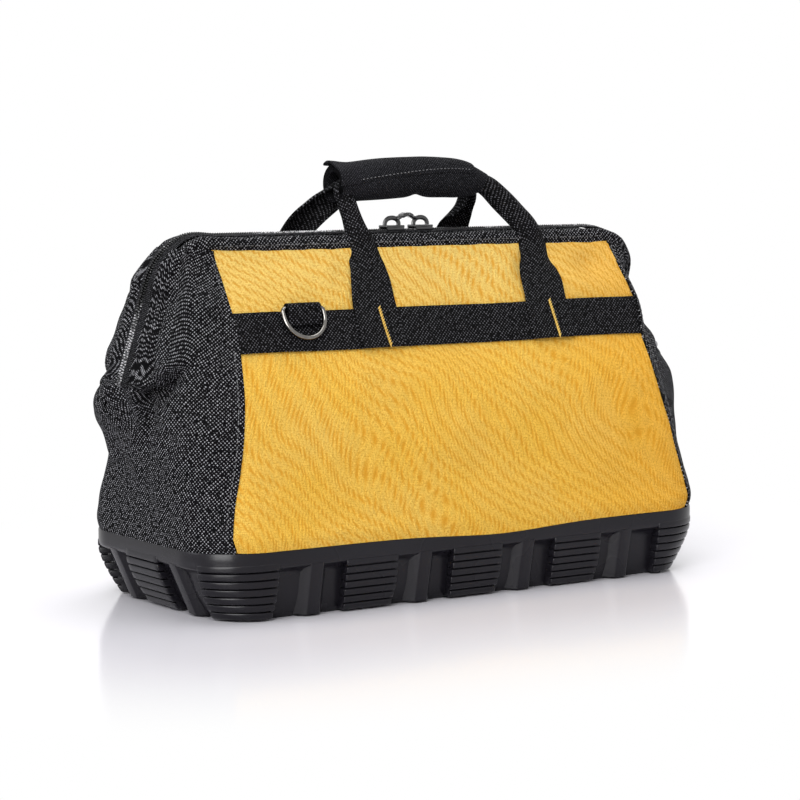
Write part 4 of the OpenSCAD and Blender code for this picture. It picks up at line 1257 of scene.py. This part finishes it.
class BAG_OT_sliders(bpy.types.Operator):
    """Makes the two zip sliders with arched bridges, and their pulls"""

    bl_idname = "bag.sliders"
    bl_label = "Sliders and pulls"

    def execute(self, context):
        for side, sx in (("left", -1), ("right", 1)):
            x = MEET + sx * SLIDER_OFF

            def waisted(p):
                # The slider narrows towards its tail and its nose is rounded
                wide = 0.86 + 0.14 * np.cos(1.6 * p[:, 0] * sx / (SLIDER_L / 2))
                return xyz(p[:, 0], p[:, 1] * wide, p[:, 2])
            size = (SLIDER_L, SLIDER_W, PLATE)
            parts = [
                block("plate", size, "black_enamel", (x, 0, PLATE_HIGH + PLATE / 2), bevel=0.8,
                      segments=4, cuts=5, shape=waisted),
                block("plate", size, "black_enamel", (x, 0, PLATE_LOW + PLATE / 2), bevel=0.5,
                      segments=3, cuts=5, shape=waisted),
                block("post", (SLIDER_L / 3, 0.9, PLATE_HIGH - PLATE_LOW), "black_enamel",
                      (x, 0, (PLATE_HIGH + PLATE_LOW) / 2 + 0.6), bevel=0.2),
            ]
            parts += [block("lip", (SLIDER_L * 0.9, 1.2, 2.6), "black_enamel",
                            (x, sy * (SLIDER_W / 2 - 0.7), PLATE_HIGH - 0.6)) for sy in (-1, 1)]
            t = np.linspace(0, math.pi, 15)
            arch = xyz(x - 5.6 * np.cos(t), 0, CHAIN_Z - 0.4 + 5.4 * np.sin(t) ** 0.7)
            parts.append(mould("bridge", 28, 12, swept(arch, 1.6, 1.0), "black_enamel",
                               around=True))
            piece = together(side + "_slider_body", parts)
            declare(piece, "zip_metal_black", "slider_" + side, side + "_slider")

            # The pull is a rounded tab with an eye, lying back on the slider
            piece = together(side + "_pull_tab", [pull_eye(sx), pull_plate(sx)])
            piece.rotation_euler = (0, sx * PULL_LEAN, 0)
            piece.location = Vector((MEET + sx * PULL_X, 0, PULL_Z)) * MM
            settle(piece, "black_enamel", 40)
            declare(piece, "zip_metal_black", "pull_" + side, side + "_pull")
        return {"FINISHED"}


# Radius of the bends beside a ring's bar, and the play in its loop
RING_BEND, PLAY = 2.5, 0.3


def bow(x, z, size, first, last, count):
    """Places on an arc about (x, z)."""
    a = np.linspace(first, last, count)
    return np.stack([x + size * np.cos(a), z + size * np.sin(a)], 1)


class BAG_OT_rings(bpy.types.Operator):
    """Bends the two D-rings and the webbing loops that hold them"""

    bl_idname = "bag.rings"
    bl_label = "Rings"

    def execute(self, context):
        r = WIRE / 2
        loop_r = r + PLAY + WEB
        tilt = math.atan((depth(BAND_Z) - depth(BAND_Z + BAND_W)) / BAND_W)
        top_z = BAND_Z + BAND_W * math.cos(tilt)
        bar_z = top_z + loop_r + 0.3
        bar_y = -(depth(top_z) + 0.2 + loop_r + 0.3)
        # Closed D: straight bar, short sides and a half round
        mean, e = RING_IN / 2 + r, RING_BEND
        bar = np.stack([np.linspace(mean - e, e - mean, 8), np.zeros(8)], 1)
        ring = np.concatenate([
            bar, bow(e - mean, -e, e, math.pi / 2 + 0.3, math.pi, 5),
            bow(0, -RING_SIDE, mean, math.pi, 2 * math.pi, 30),
            bow(mean - e, -e, e, 0, math.pi / 2 - 0.3, 5), bar[:1]])
        closed = np.concatenate([ring[-2:-1], ring, ring[1:2]])
        # The loop's webbing comes up from under the band, round the bar and down again
        a = np.linspace(-0.5, math.pi + 0.35, 14)
        line = np.concatenate([
            [(-RING_X, -depth(top_z - 6) - 0.6, top_z - 6)],
            xyz(-RING_X, bar_y + loop_r * np.cos(a), bar_z + loop_r * np.sin(a)),
            [(-RING_X, -depth(top_z - 7) - 5.2, top_z - 7)]])

        for half, _ in HALVES:
            def wire(u, v):
                k = u * (len(ring) - 1)
                x, w = at_rows(ring, k).T
                along = unit_rows(at_rows(closed[2:] - closed[:-2], k))
                x = x + along[:, 1] * r * np.cos(2 * math.pi * v)
                w = w - along[:, 0] * r * np.cos(2 * math.pi * v)
                y = r * np.sin(2 * math.pi * v)
                # Tilted about its bar so that it lies along the band
                return turned(half, xyz(
                    x - RING_X, bar_y + y * math.cos(tilt) + w * math.sin(tilt),
                    bar_z - y * math.sin(tilt) + w * math.cos(tilt)))
            piece = mould(half + "_d_ring", len(ring) * 2, 12, wire, "nickel_plate", around=True,
                          closed=True)
            declare(piece, "nickel", "ring_" + half, half + "_ring")

            def loop(u, v):
                at = at_rows(line, v * (len(line) - 1))
                at[:, 0] += (2 * u - 1) * (RING_IN / 2 - 1.2)
                return turned(half, at)
            piece = mould(half + "_ring_webbing", 10, 34, loop, "polypropylene_webbing", thick=WEB,
                          out=turned(half, (0, -1, 0.6)), edge=0.4)
            declare(piece, "webbing", "mouth_" + half, half + "_ring_loop")
        return {"FINISHED"}


# Handle grip

# Place along the grip, height of its middle, and radius; the right end draws in to its strap
GRIP = ((-55, 266.2, 12.4), (-44, 266.6, 12.5), (-30, 267.5, 12.8), (-10, 268.6, 13.0),
        (4, 269.2, 12.9), (20, 269.3, 13.0), (32, 268.9, 12.8), (44, 268.0, 12.3),
        (53, 267.3, 10.8), (60, 266.7, 8.4), (67, 265.6, 6.2))
GRIP_LOW, GRIP_HIGH = GRIP[0][0], GRIP[-1][0]
# Part of the way round a half grip's section that is its outer side, and how hollow it is
OUTER, HOLLOW = 0.62, 0.62
# Where the wrap starts and ends along the grip, and the angle of its upper edge
WRAP_LOW, WRAP_HIGH, WRAP_TOP = GRIP_LOW - 2.5, 53.5, 2.2


def grip_middle(x):
    """Height of the grip's middle."""
    return smooth([(a, b) for a, b, _ in GRIP], x)


def girth(x):
    """Radius of the grip."""
    return smooth([(a, c) for a, _, c in GRIP], x)


def brim(u):
    """Angle of the wrap's free edge, which climbs along the front from left to right."""
    return -0.12 + 0.5 * u


def wrap(u, v):
    """The wrap's upper layer, from over the top down to mid-height on the front."""
    x = WRAP_LOW + u * (WRAP_HIGH - WRAP_LOW)
    a = WRAP_TOP - (WRAP_TOP - brim(u)) * v
    loose = 2.0 * (1 - step(0.0, 0.13, u)) * (0.5 + 0.5 * np.sin(4 * a))
    lift = 1.1 + 0.3 * waves(x, a * 14, 34, 83, 5) + loose
    r = girth(x) + lift - 0.7 * step(0.88, 1.0, v) * step(0.1, 0.2, u)
    return xyz(x, np.minimum(-r * np.cos(a), 0.2 + r), grip_middle(x) + r * np.sin(a))


class BAG_OT_grips(bpy.types.Operator):
    """Pads the two half grips and lays the wrap's free edge on the front one"""

    bl_idname = "bag.grips"
    bl_label = "Grips"

    def execute(self, context):
        for half, sign in HALVES:
            def place(u, v):
                # v goes round the section: outer half, then back along the hollow
                x = GRIP_LOW + u * (GRIP_HIGH - GRIP_LOW)
                outer = v < OUTER
                a = np.where(outer, -math.pi / 2 + math.pi * v / OUTER,
                             math.pi / 2 - math.pi * (v - OUTER) / (1 - OUTER))
                # Pinch in the under side where the two handles' pads meet
                pinch = 1 - 0.16 * bump(x, 10, 6) * step(-0.3, -1.2, np.where(outer, a, 0))
                plump = 1 + 0.02 * waves(x, v * 40, 30, 81, 5)
                r = girth(x) * np.where(outer, plump * pinch, HOLLOW)
                y = np.maximum(r * np.cos(a), 0.15)
                return xyz(x, sign * y, grip_middle(x) + r * np.sin(a))
            piece = mould(half + "_grip_pad", 80, 52, place, "grip_polyester", around=True)
            declare(piece, "grip_pad", "handle_" + half, half + "_grip")

        piece = mould("front_grip_wrap", 90, 28, wrap, "grip_polyester", thick=1.5, out=(0, -1, 1),
                      edge=0.5)
        declare(piece, "grip_pad", "handle_front")
        u = np.linspace(0.14, 0.97, 60)
        x = WRAP_LOW + u * (WRAP_HIGH - WRAP_LOW)
        a = brim(u) + 0.2
        r = girth(x) + 1.15
        line = xyz(x, -r * np.cos(a), grip_middle(x) + r * np.sin(a))
        piece = stitches("grip_stitches", line, xyz(0 * x, -np.cos(a), np.sin(a)), "dark_thread",
                         long=1.8, thick=0.35)
        declare(piece, "grip_pad", "handle_front")
        return {"FINISHED"}


# Shares of an end's section between which its seam is sewn, and the thread's lift
SEW_AT, SEW_TO, SEW_LIFT = 0.045, 0.055, 0.55
# Depth and height of the stitches along a hem's foot
HEM_SEW_Y, HEM_SEW_Z = 18.75, 228.2


class BAG_OT_seams(bpy.types.Operator):
    """Sews the rows of stitches beside the seams and along the hems"""

    bl_idname = "bag.seams"
    bl_label = "Seam stitches"

    def execute(self, context):
        long = context.scene.bag_sizes.stitch / MM
        z = np.linspace(BASE_H + 2, 222, 120)
        x, y, nx, ny = end_at(SEW_AT, SEW_AT, SEW_TO, z)
        x, y = x + nx * SEW_LIFT, y + ny * SEW_LIFT
        hem_x = np.linspace(3 - SEAM_HIGH, SEAM_HIGH - 3, 120)
        for half, sy in HALVES:
            for side, sx in (("left", -1), ("right", 1)):
                along = flare(sx * x, z) if sy < 0 else sx * x
                piece = stitches(f"{half}_{side}_seam_stitches", xyz(along, sy * y, z),
                                 xyz(sx * nx, sy * ny, 0), "dark_thread", long=long)
                declare(piece, "black_cloth", None)
                sewn(piece)
            piece = stitches(half + "_hem_stitches", xyz(hem_x, sy * HEM_SEW_Y, HEM_SEW_Z),
                             xyz(0 * hem_x, sy, 0), "dark_thread", long=long)
            declare(piece, "hem_cloth", "mouth_" + half)
        return {"FINISHED"}


# Stage

# Focal length in pixels of a frame 800 pixels wide, and where the camera stands and looks
FOCAL, FRAME_WIDE, SENSOR = 2655, 800, 36.0
CAMERA_AT, YAW, PITCH = (-1.004, -1.451, 0.300), 34.62 * DEG, 5.78 * DEG
# The lamps aim at the middle of the bag
AIM = Vector((0, 0, 0.12))
LAMPS = (("key", (-1.6, -1.5, 1.9), 1.4, 50.0, (1, 1, 1)),
         ("top", (0.2, 0.0, 2.2), 1.6, 26.0, (1, 1, 1)),
         ("side", (-2.2, 0.7, 0.9), 1.0, 12.0, (0.93, 0.95, 1)),
         ("strip", (-1.9, -1.4, 0.45), 1.3, 60.0, (1, 1, 1)),
         ("back", (1.6, 1.6, 1.8), 1.4, 14.0, (1, 1, 1)))


def aimed(name, data, at, along):
    """Puts a camera or a lamp at its place, looking along a direction."""
    obj = bpy.data.objects.new(name, data)
    bpy.context.scene.collection.objects.link(obj)
    obj.location = at
    obj.rotation_mode = "QUATERNION"
    obj.rotation_quaternion = along.to_track_quat("-Z", "Y")
    return obj


def seen_directly(tree):
    """1 for the rays that show the studio itself: camera, glossy and transmission."""
    path = put(tree, "LightPath").outputs
    seen = calc(tree, "MAXIMUM", path["Is Camera Ray"], path["Is Glossy Ray"])
    return calc(tree, "MAXIMUM", seen, path["Is Transmission Ray"])


class BAG_OT_stage(bpy.types.Operator):
    """Sets the camera, the pale floor and the soft studio light"""

    bl_idname = "bag.stage"
    bl_label = "Stage"

    def execute(self, context):
        scene = context.scene
        scene.view_settings.view_transform = "Standard"
        data = bpy.data.cameras.new("camera")
        data.sensor_width = SENSOR
        data.lens = FOCAL / FRAME_WIDE * SENSOR
        data.clip_end = 50
        scene.camera = aimed("camera", data, CAMERA_AT, Vector((
            math.sin(YAW) * math.cos(PITCH), math.cos(YAW) * math.cos(PITCH),
            -math.sin(PITCH))))

        bpy.ops.object.select_all(action="DESELECT")
        bpy.ops.mesh.primitive_plane_add(size=40, location=(0, 0, 0))
        floor = context.object
        floor.name = "floor"
        # White acrylic that mirrors the foot of the bag
        look = bpy.data.materials.new("white_acrylic_floor")
        look.use_nodes = True
        tree = look.node_tree
        shader = tree.nodes["Principled BSDF"]
        shader.inputs["Base Color"].default_value = (*hex_linear("#E3E1E7"), 1)
        shader.inputs["Roughness"].default_value = 0.14
        # Away from the bag the floor runs into the white studio without a horizon
        place = put(tree, "TexCoord").outputs["Object"]
        for operation, by in (("ABSOLUTE", (0, 0, 0)),
                              ("SUBTRACT", (HALF_L * MM, HALF_W * MM, 0)),
                              ("MAXIMUM", (0, 0, 0))):
            place = put(tree, "VectorMath", {0: place, 1: by}, operation=operation).outputs[0]
        off = put(tree, "VectorMath", {0: place}, operation="LENGTH").outputs["Value"]
        far = spread(tree, off, 0.05, 0.29, interpolation_type="SMOOTHSTEP")
        far = calc(tree, "MULTIPLY", far, seen_directly(tree))
        white = put(tree, "Emission", {"Color": (1, 1, 1, 1), "Strength": 1.0}).outputs[0]
        both = put(tree, "MixShader", {0: far, 1: shader.outputs[0], 2: white}).outputs[0]
        tree.links.new(both, tree.nodes["Material Output"].inputs["Surface"])
        floor.data.materials.append(look)

        world = bpy.data.worlds.new("studio")
        scene.world = world
        world.use_nodes = True
        tree = world.node_tree
        ground = tree.nodes["Background"].inputs
        ground["Color"].default_value = (1, 1, 1, 1)
        tree.links.new(spread(tree, seen_directly(tree), 0.0, 1.0, 0.5, 1.0),
                       ground["Strength"])

        for name, at, size, power, tint in LAMPS:
            data = bpy.data.lights.new(name, "AREA")
            data.size, data.energy, data.color = size, power, tint
            lamp = aimed(name, data, at, AIM - Vector(at))
            lamp.visible_camera = False
            # The strip only gives the plastic its gleam
            lamp.visible_diffuse = name != "strip"
        return {"FINISHED"}


class BAG_PT_panel(bpy.types.Panel):
    """Sidebar panel with the bag's settings and its steps"""

    bl_label = "Tool bag"
    bl_idname = "BAG_PT_panel"
    bl_space_type = "VIEW_3D"
    bl_region_type = "UI"
    bl_category = "Bag"

    def draw(self, context):
        for group in (context.scene.bag_sizes, context.scene.bag_colours):
            for key in group.__annotations__:
                self.layout.prop(group, key)
        for step_class in STEPS:
            self.layout.operator(step_class.bl_idname)


STEPS = (BAG_OT_stage, BAG_OT_materials, BAG_OT_base, BAG_OT_panels, BAG_OT_ends,
         BAG_OT_bands, BAG_OT_straps, BAG_OT_mouth, BAG_OT_sliders, BAG_OT_rings,
         BAG_OT_grips, BAG_OT_seams)
CLASSES = (BagSizes, BagColours, *STEPS, BAG_PT_panel)


def register():
    for one in CLASSES:
        bpy.utils.register_class(one)
    bpy.types.Scene.bag_sizes = bpy.props.PointerProperty(type=BagSizes)
    bpy.types.Scene.bag_colours = bpy.props.PointerProperty(type=BagColours)


def unregister():
    del bpy.types.Scene.bag_colours
    del bpy.types.Scene.bag_sizes
    for one in reversed(CLASSES):
        bpy.utils.unregister_class(one)


def main():
    """Registers the add-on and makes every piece."""
    register()
    bpy.ops.bag.stage()
    bpy.ops.bag.materials()
    bpy.ops.bag.base()
    bpy.ops.bag.panels()
    bpy.ops.bag.ends()
    bpy.ops.bag.bands()
    bpy.ops.bag.straps()
    bpy.ops.bag.mouth()
    bpy.ops.bag.sliders()
    bpy.ops.bag.rings()
    bpy.ops.bag.grips()
    bpy.ops.bag.seams()


if __name__ == "__main__":
    main()
